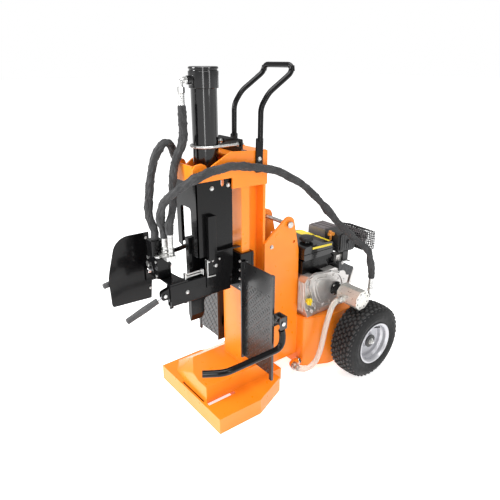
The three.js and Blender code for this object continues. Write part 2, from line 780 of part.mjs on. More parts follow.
// Hollow crankcase with its side cover and oil filler hole, and a slanted finned cylinder.
const PLUG_Y = 362;
const PLUG_Z = 434;
function engineBlock() {
  const body = outline([
    [372, ENGINE_FOOT], [640, ENGINE_FOOT], [655, 400, 20], [650, 520, 20], [560, 566], [400, 566],
    [357, 530, 20], [357, 400, 20],
  ]);
  const cover = outline([
    [425, 360, 20], [600, 352, 30], [640, 450, 40], [598, 535, 40], [512, 564, 24], [398, 578, 12],
    [362, 560, 12], [357, 516, 8], [386, 424, 20],
  ]);
  const flank = outline([
    [362, 352, 14], [600, 352, 20], [648, 450, 30], [596, 545, 40], [500, 566, 20], [366, 566, 8],
    [345, 540, 8], [345, 400, 20],
  ]);
  const fins = [];
  for (let i = 0; i < 6; i += 1) {
    fins.push(acrossX(outline([[600, 448], [708, 408], [738, 512], [640, 560]]), 20 + i * 21, 27 + i * 21));
  }
  const crankcase = outline([[363, 340], [636, 340], [645, 402, 16], [640, 514, 16], [556, 558], [404, 558],
    [363, 528, 16]]);
  const casting = joined(
    acrossX(body, -68, 148),
    acrossX(flank, 96, 150),
    acrossX(cover, 149, 165),
    rod('x', 30, 6, 164, DRIVE_Y, DRIVE_Z, 20),
    acrossX(outline([[610, 440], [680, 415], [706, 512], [630, 552]]), 24, 130),
    ...fins,
  );
  const gallery = block(104, 141, 353, 400, 400, 500);
  return cut(casting, acrossX(crankcase, -60, 141), gallery, rod('x', 10, 40, 135, PLUG_Y, PLUG_Z, 16));
}
add('engine_block', engineBlock(), silver);

function oilPlug() {
  return joined(
    rod('x', 9, 24, 138, PLUG_Y, PLUG_Z, 12),
    rod('x', 13, 18, 150 + GAP, PLUG_Y, PLUG_Z, 12),
    rod('x', 19, 8, 166, PLUG_Y, PLUG_Z, 8),
  );
}
add('oil_filler_plug', oilPlug(), yellow);

// The blower housing is a thin cowl: it holds the fan and wraps over the crankcase, below the fuel tank.
function blowerHousing() {
  const drum = turned('x', [[0, 0], [88, 0], [112, 24], [116, 92], [0, 92]], -162, 500, 455, 24);
  const hood = outline([[357, 568], [590, 568], [600, 600, 20], [585, 638], [357, 638]]);
  const fan = turned('x', [[0, 0], [84, 0], [108, 22], [112, 100], [0, 100]], -158, 500, 455, 24);
  const duct = outline([[361, 560], [586, 560], [596, 600, 20], [581, 634], [361, 634]]);
  const cowl = joined(drum, rod('x', 56, 10, -170, 500, 455, 20), acrossX(hood, -120, 112));
  return cut(cowl, fan, acrossX(duct, -116, 108));
}
add('blower_housing', blowerHousing(), black);

// The starter's cord handle rests on the housing's front.
function starterGrip() {
  return joined(rod('y', 8, 46, -128, 330, 455, 10), rod('y', 4, 20, -128, 375, 455, 8));
}
add('starter_grip', cut(starterGrip(), turned('x', [[0, 0], [116.4, 0], [116.4, 92], [0, 92]], -162, 500, 455, 48)), black);

// Fuel tank over the blower housing.
const FUEL_CAP = { x: 56, y: 430 };
function fuelTank() {
  const side = outline([
    [357, 639, 6], [560, 639, 12], [574, 660, 8], [566, 706, 20], [470, 716, 20], [357, 714, 10],
  ]);
  const neck = rod('z', 26, 20, FUEL_CAP.x, FUEL_CAP.y, 706, 20);
  const well = rod('z', 20, 60, FUEL_CAP.x, FUEL_CAP.y, 690, 20);
  const inside = outline([
    [360, 642, 4], [557, 642, 10], [570, 661, 6], [563, 703, 17], [470, 712, 17], [360, 710, 8],
  ]);
  return cut(joined(acrossX(side, -120, 122), neck), acrossX(inside, -117, 119), well);
}
add('fuel_tank', fuelTank(), black);

function fuelCap() {
  const { x, y } = FUEL_CAP;
  return joined(rod('z', 19, 20, x, y, 708, 16), rod('z', 36, 20, x, y, 726 + GAP, 24));
}
add('fuel_cap', fuelCap(), black);

// Air cleaner beside the tank, over the cylinder.
function airCleaner() {
  const side = outline([[582, 640, 10], [712, 632, 16], [718, 725, 16], [690, 745, 12], [582, 745, 16]]);
  return joined(acrossX(side, 46, 150), block(100, 140, 625, 665, 577, 650));
}
add('air_cleaner', airCleaner(), black);

// The exhaust box stands behind the tank, and its pipe runs into the hollow silencer.
function exhaust() {
  const body = joined(
    block(-84, 38, 586, 690, 690, 742),
    rod('y', 12, 80, 25, 680, 708, 12),
    rod('x', 32, 136, 14, 776, 690, 20),
    block(-20, 20, 640, 680, 577, 700),
  );
  return cut(body, rod('x', 29, 128, 18, 776, 690, 20), rod('x', 9, 20, 140, 776, 690, 12));
}
add('exhaust', exhaust(), silver);

// A cage of wire stands round the silencer and is held by two stays.
function silencerGuard() {
  const outer = outline([[724, 632, 16], [850, 604, 20], [850, 714, 24], [728, 748, 24]]);
  const inner = outline([[731, 638, 14], [843, 613, 18], [843, 709, 22], [735, 739, 20]]);
  const windows = [];
  for (let i = 0; i < 4; i += 1) {
    windows.push(block(-60, 200, 742 + i * 25, 758 + i * 25, 646 - i * 5, 722 - i * 7));
  }
  const cage = cut(
    acrossX(outer, 2, 166),
    acrossX(inner, 8, 160),
    rod('y', 14, 20, 25, 715, 708, 16),
    ...windows,
  );
  return joined(cage, block(70, 96, 718 + GAP, 729, 696, 702), block(120, 140, 718 + GAP, 729, 696, 702));
}
add('silencer_guard', silencerGuard(), black);

const THROTTLE = { x: 150, y: 610, z: 583 };
function throttleLever() {
  const { x, y, z } = THROTTLE;
  return joined(rod('x', 10, 6, x, y, z, 12), block(x, x + 3, y - 8, y + 52, z - 4, z + 4));
}
add('throttle_lever', throttleLever(), black);

// ---------------------------------------------------------------- coupling and pump
function couplingBell() {
  const profile = [[0, 0], [38, 0], [38, 7], [30, 13], [28, 50], [36, 56], [0, 56]];
  return turned('x', profile, 170 + GAP, DRIVE_Y, DRIVE_Z, 20);
}
add('coupling_bell', couplingBell(), black);

const PUMP_START = 226.6;
const PUMP_END = 355;
function gearPump() {
  const flat = 20.5;
  const tall = 49;
  const corners = [[tall, flat], [flat, tall], [-flat, tall], [-tall, flat], [-tall, -flat], [-flat, -tall],
    [flat, -tall], [tall, -flat]];
  const octagon = outline(corners.map(([y, z]) => [DRIVE_Y + y, DRIVE_Z + z]));
  const bolts = [];
  for (let i = 0; i < 8; i += 1) {
    const angle = ((i + 0.5) / 8) * Math.PI * 2;
    bolts.push(rod('x', 4.5, 20, PUMP_END - 7, DRIVE_Y + 39 * Math.cos(angle), DRIVE_Z + 39 * Math.sin(angle), 6));
  }
  const body = joined(
    acrossX(octagon, PUMP_START, PUMP_END),
    rod('y', 15, 30, 262, DRIVE_Y - 75, DRIVE_Z - 12, 12),
    rod('y', 14, 32, 326, DRIVE_Y + 40, DRIVE_Z - 6, 12),
  );
  return cut(body, ...bolts);
}
add('gear_pump', gearPump(), silver);

// Pressure elbow on the pump's rear port, turned up to the hose.
const OUTLET_Y = DRIVE_Y + 90;
function pumpElbow() {
  const z = DRIVE_Z - 6;
  return joined(
    rod('y', 14, 10, 326, DRIVE_Y + 72 + GAP, z, 6),
    rod('y', 10, 24, 326, DRIVE_Y + 78, z, 12),
    rod('z', 10, 40, 326, OUTLET_Y, z - 10, 12),
    rod('z', 15, 20, 326, OUTLET_Y, z + 22, 6),
    rod('z', 13, 56, 326, OUTLET_Y, z + 40, 12),
  );
}
add('pump_elbow', pumpElbow(), silver);

// ---------------------------------------------------------------- hoses
const HOSE_R = 17;

// From the upper port down the front of the cylinder to the valve.
const HOSE_UPPER = [
  [0, -232, 1419.7], [0, -232, 1380], [0, -232, 1314], [-4, -238, 1268], [-10, -262, 1216], [-14, -277, 1160],
  [-18, -286, 1096], [-8, -292, 1040], [14, -312, 995], [22, -332, 945], [22, -332, 910.3],
];
add('hose_upper', hose(HOSE_UPPER, HOSE_R, 18, 8), sleeve);

// From the valve over in a loop and down behind the head's nose to the lower port.
const HOSE_LOWER = [
  [-66, -358, 868.3], [-66, -358, 905], [-68, -376, 984], [-66, -366, 1088], [-64, -351, 1161], [-62, -326, 1232],
  [-64, -290, 1270], [-78, -254, 1264], [-102, -222, 1216], [-118, -190, 1160], [-112, -156, 1120],
  [-92, -131, 1106], [-88, -127, 1098], [-88, -127, 1078.3],
];
add('hose_lower', hose(HOSE_LOWER, HOSE_R, 28, 8), sleeve);

// From the pump up and over the head to the front of the valve.
const HOSE_PRESSURE = [
  [326, 638, 549.3], [326, 638, 585], [324, 620, 645], [326, 596, 705], [280, 532, 776], [236, 458, 860],
  [196, 385, 955], [164, 312, 1035], [138, 240, 1088], [122, 160, 1130], [118, 73, 1153], [116, -8, 1170],
  [116, -85, 1177], [116, -160, 1172], [115, -216, 1162], [106, -264, 1142], [78, -308, 1108],
  [36, -340, 1068], [4, -354, 1020], [-16, -350, 965], [-18, -338, 918], [-18, -338, 885.3],
];
add('hose_pressure', hose(HOSE_PRESSURE, HOSE_R, 40, 8), sleeve);

// Clear suction hose from the tank's outlet up to the pump.
const HOSE_SUCTION = [
  [164.5, 292, 66], [186, 292, 66], [214, 318, 74], [230, 358, 104], [236, 386, 160], [240, 400, 230],
  [246, 408, 300], [252, 418, 360], [258, 430, 414], [262, 455, 447], [262, 472.7, 447],
];
add('hose_suction', hose(HOSE_SUCTION, 14, 20, 8), clear);

export default group;
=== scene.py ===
"""The looks of the upright log splitter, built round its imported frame. Sizes below are in millimetres."""

import math

import bmesh
import bpy
from mathutils import Matrix, Vector, noise
from mathutils.geometry import tessellate_polygon


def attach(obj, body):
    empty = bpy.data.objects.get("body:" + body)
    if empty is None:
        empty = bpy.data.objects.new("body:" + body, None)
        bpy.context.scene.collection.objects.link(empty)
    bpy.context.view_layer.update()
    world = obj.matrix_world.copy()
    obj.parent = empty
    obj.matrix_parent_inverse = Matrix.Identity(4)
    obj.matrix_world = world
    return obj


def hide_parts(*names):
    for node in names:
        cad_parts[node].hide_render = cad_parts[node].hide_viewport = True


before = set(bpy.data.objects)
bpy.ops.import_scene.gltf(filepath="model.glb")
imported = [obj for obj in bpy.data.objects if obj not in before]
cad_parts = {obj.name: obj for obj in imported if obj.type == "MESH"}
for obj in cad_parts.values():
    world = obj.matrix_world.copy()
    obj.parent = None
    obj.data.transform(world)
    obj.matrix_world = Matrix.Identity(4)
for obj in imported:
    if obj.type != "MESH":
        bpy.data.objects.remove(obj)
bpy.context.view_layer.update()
MM = 0.001
scene = bpy.context.scene

# ------------------------------------------------------------------ camera
camera_data = bpy.data.cameras.new("camera")
camera_data.lens = 35.25
camera_data.sensor_width = 36.0
camera_data.clip_start = 0.05
camera = bpy.data.objects.new("camera", camera_data)
camera.location = (1.7465, -1.2441, 1.5946)
camera.rotation_euler = (math.radians(68.567), 0.0, math.radians(52.258))
scene.collection.objects.link(camera)
scene.camera = camera


# ------------------------------------------------------------------ materials
class Look:
    """A material under construction: its nodes, and the record's slot that it stands for."""

    def __init__(self, name, slot, color, roughness, metallic=0.0, **sockets):
        self.slot = slot
        self.material = bpy.data.materials.new(name)
        self.material.use_nodes = True
        self.tree = self.material.node_tree
        self.shader = self.tree.nodes["Principled BSDF"]
        self.color = color
        self.shader.inputs["Base Color"].default_value = (*color, 1)
        self.shader.inputs["Roughness"].default_value = roughness
        self.shader.inputs["Metallic"].default_value = metallic
        for key, value in sockets.items():
            self.shader.inputs[key.replace("_", " ")].default_value = value
        self.coords = self.tree.nodes.new("ShaderNodeTexCoord")
        self.normal = None

    def node(self, kind, **settings):
        made = self.tree.nodes.new(kind)
        for key, value in settings.items():
            setattr(made, key, value)
        return made

    def link(self, a, b):
        self.tree.links.new(a, b)

    def noise(self, scale, detail=4.0, roughness=0.55, stretch=(1, 1, 1), source="Object"):
        mapping = self.node("ShaderNodeMapping")
        mapping.inputs["Scale"].default_value = stretch
        self.link(self.coords.outputs[source], mapping.inputs["Vector"])
        made = self.node("ShaderNodeTexNoise")
        made.inputs["Scale"].default_value = scale
        made.inputs["Detail"].default_value = detail
        made.inputs["Roughness"].default_value = roughness
        self.link(mapping.outputs["Vector"], made.inputs["Vector"])
        return made.outputs["Fac"]

    def wave(self, scale, direction):
        made = self.node("ShaderNodeTexWave", bands_direction=direction)
        made.inputs["Scale"].default_value = scale
        self.link(self.coords.outputs["UV"], made.inputs["Vector"])
        return made.outputs["Fac"]

    def span(self, factor, low, high, start=0.0, end=1.0):
        made = self.node("ShaderNodeMapRange")
        for key, value in (("From Min", start), ("From Max", end), ("To Min", low), ("To Max", high)):
            made.inputs[key].default_value = value
        self.link(factor, made.inputs["Value"])
        return made.outputs["Result"]

    def math(self, operation, a, b):
        made = self.node("ShaderNodeMath", operation=operation)
        for socket, value in zip(made.inputs, (a, b)):
            if isinstance(value, (int, float)):
                socket.default_value = value
            else:
                self.link(value, socket)
        return made.outputs["Value"]

    def tint(self, factor, other):
        """Mixes the base colour towards another colour where factor is high."""
        made = self.node("ShaderNodeMix", data_type="RGBA")
        self.link(factor, made.inputs["Factor"])
        base = self.shader.inputs["Base Color"]
        if base.is_linked:
            self.link(base.links[0].from_socket, made.inputs["A"])
        else:
            made.inputs["A"].default_value = (*self.color, 1)
        made.inputs["B"].default_value = (*other, 1)
        self.link(made.outputs["Result"], base)
        return self

    def rough(self, factor, low, high, start=0.3, end=0.7):
        self.link(self.span(factor, low, high, start, end), self.shader.inputs["Roughness"])
        return self

    def bump(self, height, strength, distance):
        made = self.node("ShaderNodeBump")
        made.inputs["Strength"].default_value = strength
        made.inputs["Distance"].default_value = distance
        self.link(height, made.inputs["Height"])
        if self.normal:
            self.link(self.normal, made.inputs["Normal"])
        self.normal = made.outputs["Normal"]
        self.link(self.normal, self.shader.inputs["Normal"])
        return self

    def cloud(self, scale, detail, amount, start, end, other):
        """Blotches of another colour."""
        return self.tint(self.span(self.noise(scale, detail), 0.0, amount, start, end), other)

    def grain(self, scale, detail, strength, distance, roughness=0.55):
        """A fine bump."""
        return self.bump(self.noise(scale, detail, roughness), strength, distance)

    def worn_edges(self, color, amount):
        """Lighter paint along outer edges, broken up by noise."""
        softened = self.node("ShaderNodeBevel", samples=4)
        softened.inputs["Radius"].default_value = 0.002
        geometry = self.node("ShaderNodeNewGeometry")
        facing = self.node("ShaderNodeVectorMath", operation="DOT_PRODUCT")
        self.link(softened.outputs["Normal"], facing.inputs[0])
        self.link(geometry.outputs["Normal"], facing.inputs[1])
        edge = self.span(facing.outputs["Value"], 1.0, 0.0, 0.82, 0.98)
        broken = self.span(self.noise(90, 3), 0.0, amount, 0.45, 0.7)
        return self.tint(self.math("MULTIPLY", edge, broken), color)


def painted(name, slot, color, dark, roughness, **sockets):
    """Sprayed enamel: faint cloudiness, orange-peel texture, and a little dust."""
    look = Look(name, slot, color, roughness, **sockets)
    look.cloud(7, 3, 0.55, 0.42, 0.75, dark)
    look.rough(look.noise(24, 5), roughness * 0.8, roughness * 1.35)
    return look.grain(420, 2, 0.02, 0.0003, 0.5).grain(18, 2, 0.035, 0.0012, 0.4)


ORANGE = painted("orange_enamel", "orange_paint", (0.93, 0.245, 0.012), (0.90, 0.205, 0.009), 0.32,
                 Specular_IOR_Level=0.35, Coat_Weight=0.2, Coat_Roughness=0.12)
ORANGE.worn_edges((0.98, 0.42, 0.12), 0.5)
BLACK = painted("black_enamel", "black_paint", (0.0030, 0.0030, 0.0034), (0.0050, 0.0047, 0.0046), 0.20,
                Specular_IOR_Level=0.16, Coat_Weight=0.14, Coat_Roughness=0.08)
BLACK.worn_edges((0.05, 0.05, 0.052), 0.6)
TREAD = painted("tread_enamel", "tread_paint", (0.009, 0.009, 0.0095), (0.016, 0.0155, 0.015), 0.30,
                Specular_IOR_Level=0.4, Coat_Weight=0.4, Coat_Roughness=0.16)
TREAD.worn_edges((0.20, 0.20, 0.20), 0.9)
RAM = painted("ram_enamel", "ram_enamel", (0.0045, 0.0045, 0.005), (0.007, 0.007, 0.007), 0.15,
              Specular_IOR_Level=0.3, Coat_Weight=0.5, Coat_Roughness=0.05)

STEEL = Look("heat_blued_steel", "zinc_plate", (0.20, 0.18, 0.185), 0.42, 0.5)
STEEL.cloud(18, 5, 0.7, 0.4, 0.72, (0.12, 0.105, 0.11))
STEEL.rough(STEEL.noise(70, 4), 0.34, 0.55).grain(600, 3, 0.1, 0.0003)
CHROME = Look("hard_chrome", "chromed_bar", (0.78, 0.78, 0.80), 0.09, 1.0)
CHROME.rough(CHROME.noise(60, 4, stretch=(1, 1, 0.05)), 0.05, 0.16)
ZINC = Look("bright_zinc", "zinc_plate", (0.60, 0.60, 0.59), 0.28, 1.0)
ZINC.cloud(55, 4, 0.6, 0.4, 0.7, (0.42, 0.42, 0.41))
ZINC.rough(ZINC.noise(90, 4), 0.22, 0.42).grain(700, 3, 0.12, 0.0003)
CASTING = Look("bare_casting", "engine_casting", (0.66, 0.64, 0.62), 0.36, 0.75)
CASTING.cloud(22, 5, 0.6, 0.42, 0.74, (0.46, 0.445, 0.43))
CASTING.rough(CASTING.noise(70, 4), 0.28, 0.48).grain(900, 4, 0.12, 0.0004, 0.7)
# The fins are the bare engine casting coloured near black: painted shade between the fins.
FINS = Look("cooling_fins_painted_shade", "engine_casting", (0.035, 0.035, 0.037), 0.45, 0.3)
FINS.cloud(60, 4, 0.6, 0.4, 0.7, (0.10, 0.10, 0.10)).grain(700, 3, 0.1, 0.0003, 0.6)
MACHINED = Look("machined_aluminium", "engine_casting", (0.66, 0.65, 0.61), 0.34, 0.65)
MACHINED.cloud(30, 4, 0.4, 0.42, 0.75, (0.52, 0.51, 0.48))
MACHINED.rough(MACHINED.noise(80, 4), 0.24, 0.42).grain(900, 3, 0.08, 0.0003, 0.6)
RIM = Look("rim_enamel", "rim_paint", (0.55, 0.55, 0.575), 0.32, 0.6)
RIM.cloud(20, 4, 0.4, 0.45, 0.75, (0.43, 0.43, 0.45))
RIM.rough(RIM.noise(60, 3), 0.26, 0.42).grain(600, 2, 0.1, 0.0003)

TYRE = Look("tyre_rubber", "tyre_rubber", (0.0065, 0.0065, 0.007), 0.5, Specular_IOR_Level=0.28)
TYRE.cloud(14, 6, 0.5, 0.45, 0.8, (0.016, 0.016, 0.015))
TYRE.rough(TYRE.noise(50, 5), 0.48, 0.66).grain(420, 5, 0.12, 0.0004, 0.7)
BLOCK = Look("tread_rubber", "tyre_rubber", (0.026, 0.026, 0.0265), 0.6)
BLOCK.cloud(30, 6, 0.6, 0.42, 0.75, (0.046, 0.045, 0.043))
BLOCK.rough(BLOCK.noise(50, 5), 0.5, 0.75).grain(420, 5, 0.2, 0.0005, 0.7)
GRIP = Look("grip_rubber", "grip_rubber", (0.05, 0.05, 0.052), 0.6)
GRIP.cloud(60, 5, 0.6, 0.4, 0.75, (0.085, 0.083, 0.08))
GRIP.rough(GRIP.noise(80, 4), 0.48, 0.75).grain(600, 4, 0.3, 0.0005, 0.7)
PLASTIC = Look("black_moulding", "black_plastic", (0.013, 0.013, 0.014), 0.4)
PLASTIC.cloud(12, 3, 0.5, 0.45, 0.8, (0.026, 0.025, 0.024))
PLASTIC.rough(PLASTIC.noise(40, 4), 0.32, 0.52).grain(1100, 2, 0.18, 0.0003)
YELLOW = Look("yellow_moulding", "yellow_plastic", (0.80, 0.62, 0.03), 0.35)
YELLOW.cloud(60, 4, 0.5, 0.45, 0.8, (0.62, 0.47, 0.02)).grain(500, 3, 0.15, 0.0003)
AMBER = Look("amber_moulding", "yellow_plastic", (0.55, 0.20, 0.02), 0.35)
AMBER.cloud(80, 4, 0.5, 0.45, 0.8, (0.35, 0.11, 0.02))

CLEAR = Look("clear_hose", "clear_hose", (0.86, 0.83, 0.76), 0.22, Transmission_Weight=0.55, IOR=1.42)
CLEAR.tint(CLEAR.span(CLEAR.wave(39.0, "Y"), 0, 0.5, 0.6, 0.95), (0.74, 0.72, 0.68))
CLEAR.bump(CLEAR.wave(39.0, "Y"), 0.15, 0.0005)
SLEEVE = Look("hose_sleeve", "hose_sleeve", (0.020, 0.020, 0.021), 0.5,
              Sheen_Weight=0.12, Sheen_Roughness=0.3)
SLEEVE.tint(SLEEVE.span(SLEEVE.noise(30, 5, 0.6), 0, 0.8, 0.38, 0.7), (0.060, 0.060, 0.061))
weave = SLEEVE.math("MULTIPLY", SLEEVE.wave(140.0, "X"), SLEEVE.wave(140.0, "Y"))
SLEEVE.tint(SLEEVE.span(weave, 0.35, 0.0, 0.0, 0.6), (0.022, 0.022, 0.023))
SLEEVE.bump(weave, 0.25, 0.0004)
SLEEVE.bump(SLEEVE.noise(1.0, 4, 0.6, (60, 24, 1), "UV"), 0.9, 0.007)
SLEEVE.rough(SLEEVE.noise(60, 4), 0.68, 0.9)


# ------------------------------------------------------------------ shapes: (points, faces) in millimetres
def merged(*shapes):
    """Several shapes as one."""
    points, faces = [], []
    for shape_points, shape_faces in shapes:
        start = len(points)
        points.extend(shape_points)
        faces.extend([tuple(i + start for i in face) for face in shape_faces])
    return points, faces


def rounded(corners, radius=0.0, steps=6):
    """An outline whose corners are rounded by radius, or by a corner's own third number."""
    ring = []
    for i, corner in enumerate(corners):
        at = Vector(corner[:2])
        r = corner[2] if len(corner) > 2 else radius
        if not r:
            ring.append(tuple(at))
            continue
        before = (Vector(corners[i - 1][:2]) - at).normalized() * r
        after = (Vector(corners[(i + 1) % len(corners)][:2]) - at).normalized() * r
        for k in range(steps + 1):
            t = k / steps
            ring.append(tuple(at + before * (1 - t) ** 2 + after * t**2))
    return ring


def arc(u, v, r, start, end, steps=20):
    angles = [start + (end - start) * i / steps for i in range(steps + 1)]
    return [(u + r * math.cos(angle), v + r * math.sin(angle)) for angle in angles]


def circle(u, v, r, sides=32):
    return arc(u, v, r, 0.0, 2 * math.pi, sides)[:-1]


def around(u, v, r, angle):
    """The point at an angle round (u, v)."""
    return u + r * math.cos(angle), v + r * math.sin(angle)


def hole(ring):
    """An outline run the other way round, for a hole."""
    return list(reversed(ring))


def shrunk(ring, share):
    """The outline drawn in towards its middle."""
    cu = sum(p[0] for p in ring) / len(ring)
    cv = sum(p[1] for p in ring) / len(ring)
    return [(cu + (u - cu) * share, cv + (v - cv) * share) for u, v in ring]


def oblong(u0, u1, v0, v1, radius):
    """A rectangle's outline with rounded corners."""
    return rounded([(u0, v0), (u1, v0), (u1, v1), (u0, v1)], radius)


PLANES = {"x": (1, 2, 0), "y": (0, 2, 1), "z": (0, 1, 2)}


def prism(axis, low, high, outer, holes=()):
    """A flat plate across an axis. Its outline is (y, z), (x, z) or (x, y)."""
    rings = [outer, *holes]
    u_axis, v_axis, depth_axis = PLANES[axis]
    flat = [p for ring in rings for p in ring]
    count = len(flat)
    points = []
    for depth in (low, high):
        for u, v in flat:
            point = [0.0, 0.0, 0.0]
            point[u_axis], point[v_axis], point[depth_axis] = u, v, depth
            points.append(tuple(point))
    caps = tessellate_polygon([[Vector((u, v, 0)) for u, v in ring] for ring in rings])
    faces = [tuple(reversed(t)) for t in caps] + [tuple(i + count for i in t) for t in caps]
    start = 0
    for ring in rings:
        size = len(ring)
        for i in range(size):
            a, b = start + i, start + (i + 1) % size
            faces.append((a, b, b + count, a + count))
        start += size
    return points, faces


def pad(axis, low, high, u0, u1, v0, v1, radius):
    """A rectangular plate with rounded corners."""
    return prism(axis, low, high, oblong(u0, u1, v0, v1, radius))


def box(x0, x1, y0, y1, z0, z1):
    return prism("z", z0, z1, [(x0, y0), (x1, y0), (x1, y1), (x0, y1)])


def axis_matrix(axis):
    """The rotation that lays Z along an axis."""
    if axis == "x":
        return Matrix.Rotation(math.radians(90), 4, "Y")
    if axis == "y":
        return Matrix.Rotation(math.radians(-90), 4, "X")
    return Matrix.Identity(4)


def placed(shape, matrix):
    """The shape moved by a matrix."""
    return [tuple(matrix @ Vector(p)) for p in shape[0]], shape[1]


def turned(axis, profile, x, y, z, sides=64):
    """A turned piece: profile is (radius, distance along the axis)."""
    points, rings = [], []
    for r, along in profile:
        if r < 1e-6:
            rings.append([len(points)] * sides)
            points.append((0.0, 0.0, along))
            continue
        rings.append(list(range(len(points), len(points) + sides)))
        for i in range(sides):
            angle = 2 * math.pi * i / sides
            points.append((r * math.cos(angle), r * math.sin(angle), along))
    faces = []
    for lower, upper in zip(rings, rings[1:]):
        for i in range(sides):
            j = (i + 1) % sides
            face = []
            for index in (lower[i], lower[j], upper[j], upper[i]):
                if index not in face:
                    face.append(index)
            if len(face) > 2:
                faces.append(tuple(face))
    return placed((points, faces), Matrix.Translation((x, y, z)) @ axis_matrix(axis))


def disc(axis, radius, length, x, y, z, sides=64):
    """A round plate or bar with square edges."""
    return turned(axis, [(0, 0), (radius, 0), (radius, length), (0, length)], x, y, z, sides)


def collar(axis, inner, outer, length, x, y, z, sides=64):
    """A plain ring."""
    profile = [(inner, 0), (outer, 0), (outer, length), (inner, length), (inner, 0)]
    return turned(axis, profile, x, y, z, sides)


def rod(axis, radius, length, x, y, z, sides=40, chamfer=None):
    """A round bar with both ends chamfered."""
    c = chamfer or min(radius * 0.12, length * 0.2, 1.2)
    profile = [(0, 0), (radius - c, 0), (radius, c), (radius, length - c), (radius - c, length), (0, length)]
    return turned(axis, profile, x, y, z, sides)


def nut(axis, radius, length, x, y, z):
    """A hexagon with its corners turned down at both ends."""
    c = radius * 0.13
    profile = [(0, 0), (radius - c, 0), (radius, c), (radius, length - c), (radius - c, length), (0, length)]
    return turned(axis, profile, x, y, z, 6)


def bolt(axis, way, x, y, z, size):
    """A washer and a hexagon head that face way (1 or -1) along the axis, standing on (x, y, z)."""
    washer = rod("z", size * 1.22, 1.8, 0, 0, 0, 28)
    head = nut("z", size, size * 0.62, 0, 0, 1.8)
    crown = turned("z", [(0, 0), (size * 0.8, 0), (size * 0.55, 1.0), (0, 1.2)], 0, 0, 1.8 + size * 0.62, 24)
    shape = merged(washer, head, crown)
    flip = Matrix.Identity(4) if way > 0 else Matrix.Rotation(math.pi, 4, "Y" if axis != "y" else "X")
    return placed(shape, Matrix.Translation((x, y, z)) @ axis_matrix(axis) @ flip)


def bent(corners, bend, step=4.0):
    """Straight runs joined by round bends, as a tube bender leaves them."""
    at = [Vector(p) for p in corners]
    path = [at[0]]
    for i in range(1, len(at) - 1):
        start = at[i] + (at[i - 1] - at[i]).normalized() * bend
        end = at[i] + (at[i + 1] - at[i]).normalized() * bend
        count = max(4, int((end - start).length / step))
        for k in range(count + 1):
            t = k / count
            path.append(start * (1 - t) ** 2 + at[i] * 2 * t * (1 - t) + end * t**2)
    path.append(at[-1])
    return path


def smooth_path(corners, step=6.0):
    """A centripetal Catmull-Rom curve through the corners."""
    at = [Vector(p) for p in corners]
    at = [at[0] * 2 - at[1], *at, at[-1] * 2 - at[-2]]
    path = []
    for i in range(1, len(at) - 2):
        p0, p1, p2, p3 = at[i - 1:i + 3]
        t01, t12, t23 = [max((b - a).length ** 0.5, 1e-4) for a, b in ((p0, p1), (p1, p2), (p2, p3))]
        m1 = (p2 - p1 + ((p1 - p0) / t01 - (p2 - p0) / (t01 + t12)) * t12)
        m2 = (p2 - p1 + ((p3 - p2) / t23 - (p3 - p1) / (t12 + t23)) * t12)
        count = max(2, int((p2 - p1).length / step))
        for k in range(count):
            t = k / count
            a = (p1 - p2) * 2 + m1 + m2
            b = (p2 - p1) * 3 - m1 * 2 - m2
            path.append(a * t**3 + b * t**2 + m1 * t + p1)
    path.append(at[-2])
    return path


def spaced(path, step):
    """The path resampled at an even step."""
    lengths = [0.0]
    for a, b in zip(path, path[1:]):
        lengths.append(lengths[-1] + (b - a).length)
    count = max(2, round(lengths[-1] / step))
    out, k = [], 0
    for i in range(count + 1):
        want = lengths[-1] * i / count
        while k < len(path) - 2 and lengths[k + 1] < want:
            k += 1
        part = (want - lengths[k]) / max(lengths[k + 1] - lengths[k], 1e-9)
        out.append(path[k].lerp(path[k + 1], min(max(part, 0), 1)))
    return out


def sweep(path, radius, sides=24):
    """A round bar along a path. radius is a number or a function of distance, angle and share."""
    total = sum((b - a).length for a, b in zip(path, path[1:]))
    tangents = []
    for i in range(len(path)):
        a, b = path[max(i - 1, 0)], path[min(i + 1, len(path) - 1)]
        tangents.append((b - a).normalized())
    side = tangents[0].orthogonal().normalized()
    points, faces, run = [], [], 0.0
    for i, (at, tangent) in enumerate(zip(path, tangents)):
        if i:
            run += (path[i] - path[i - 1]).length
        side = (side - tangent * side.dot(tangent)).normalized()
        other = tangent.cross(side)
        for k in range(sides):
            angle = 2 * math.pi * k / sides
            r = radius(run, angle, run / total) if callable(radius) else radius
            points.append(tuple(at + side * (r * math.cos(angle)) + other * (r * math.sin(angle))))
        if i:
            for k in range(sides):
                j = (k + 1) % sides
                a, b = (i - 1) * sides, i * sides
                faces.append((a + k, a + j, b + j, b + k))
    faces.append(tuple(reversed(range(sides))))
    faces.append(tuple(range(len(points) - sides, len(points))))
    return points, faces


def piece(name, shape, look, body="frame", stands_for=(), bevel=0.0, angle=32.0, segments=2):
    """One object of the visual model, riding on a body of the frame."""
    mesh = bpy.data.meshes.new(name)
    mesh.from_pydata([tuple(c * MM for c in p) for p in shape[0]], [], shape[1])
    work = bmesh.new()
    work.from_mesh(mesh)
    bmesh.ops.dissolve_degenerate(work, dist=1e-7, edges=work.edges)
    if bevel:
        bmesh.ops.dissolve_limit(work, angle_limit=0.004, verts=work.verts, edges=work.edges)
    bmesh.ops.recalc_face_normals(work, faces=work.faces)
    work.to_mesh(mesh)
    work.free()
    return dressed(name, mesh, look, body, stands_for, bevel, angle, segments)


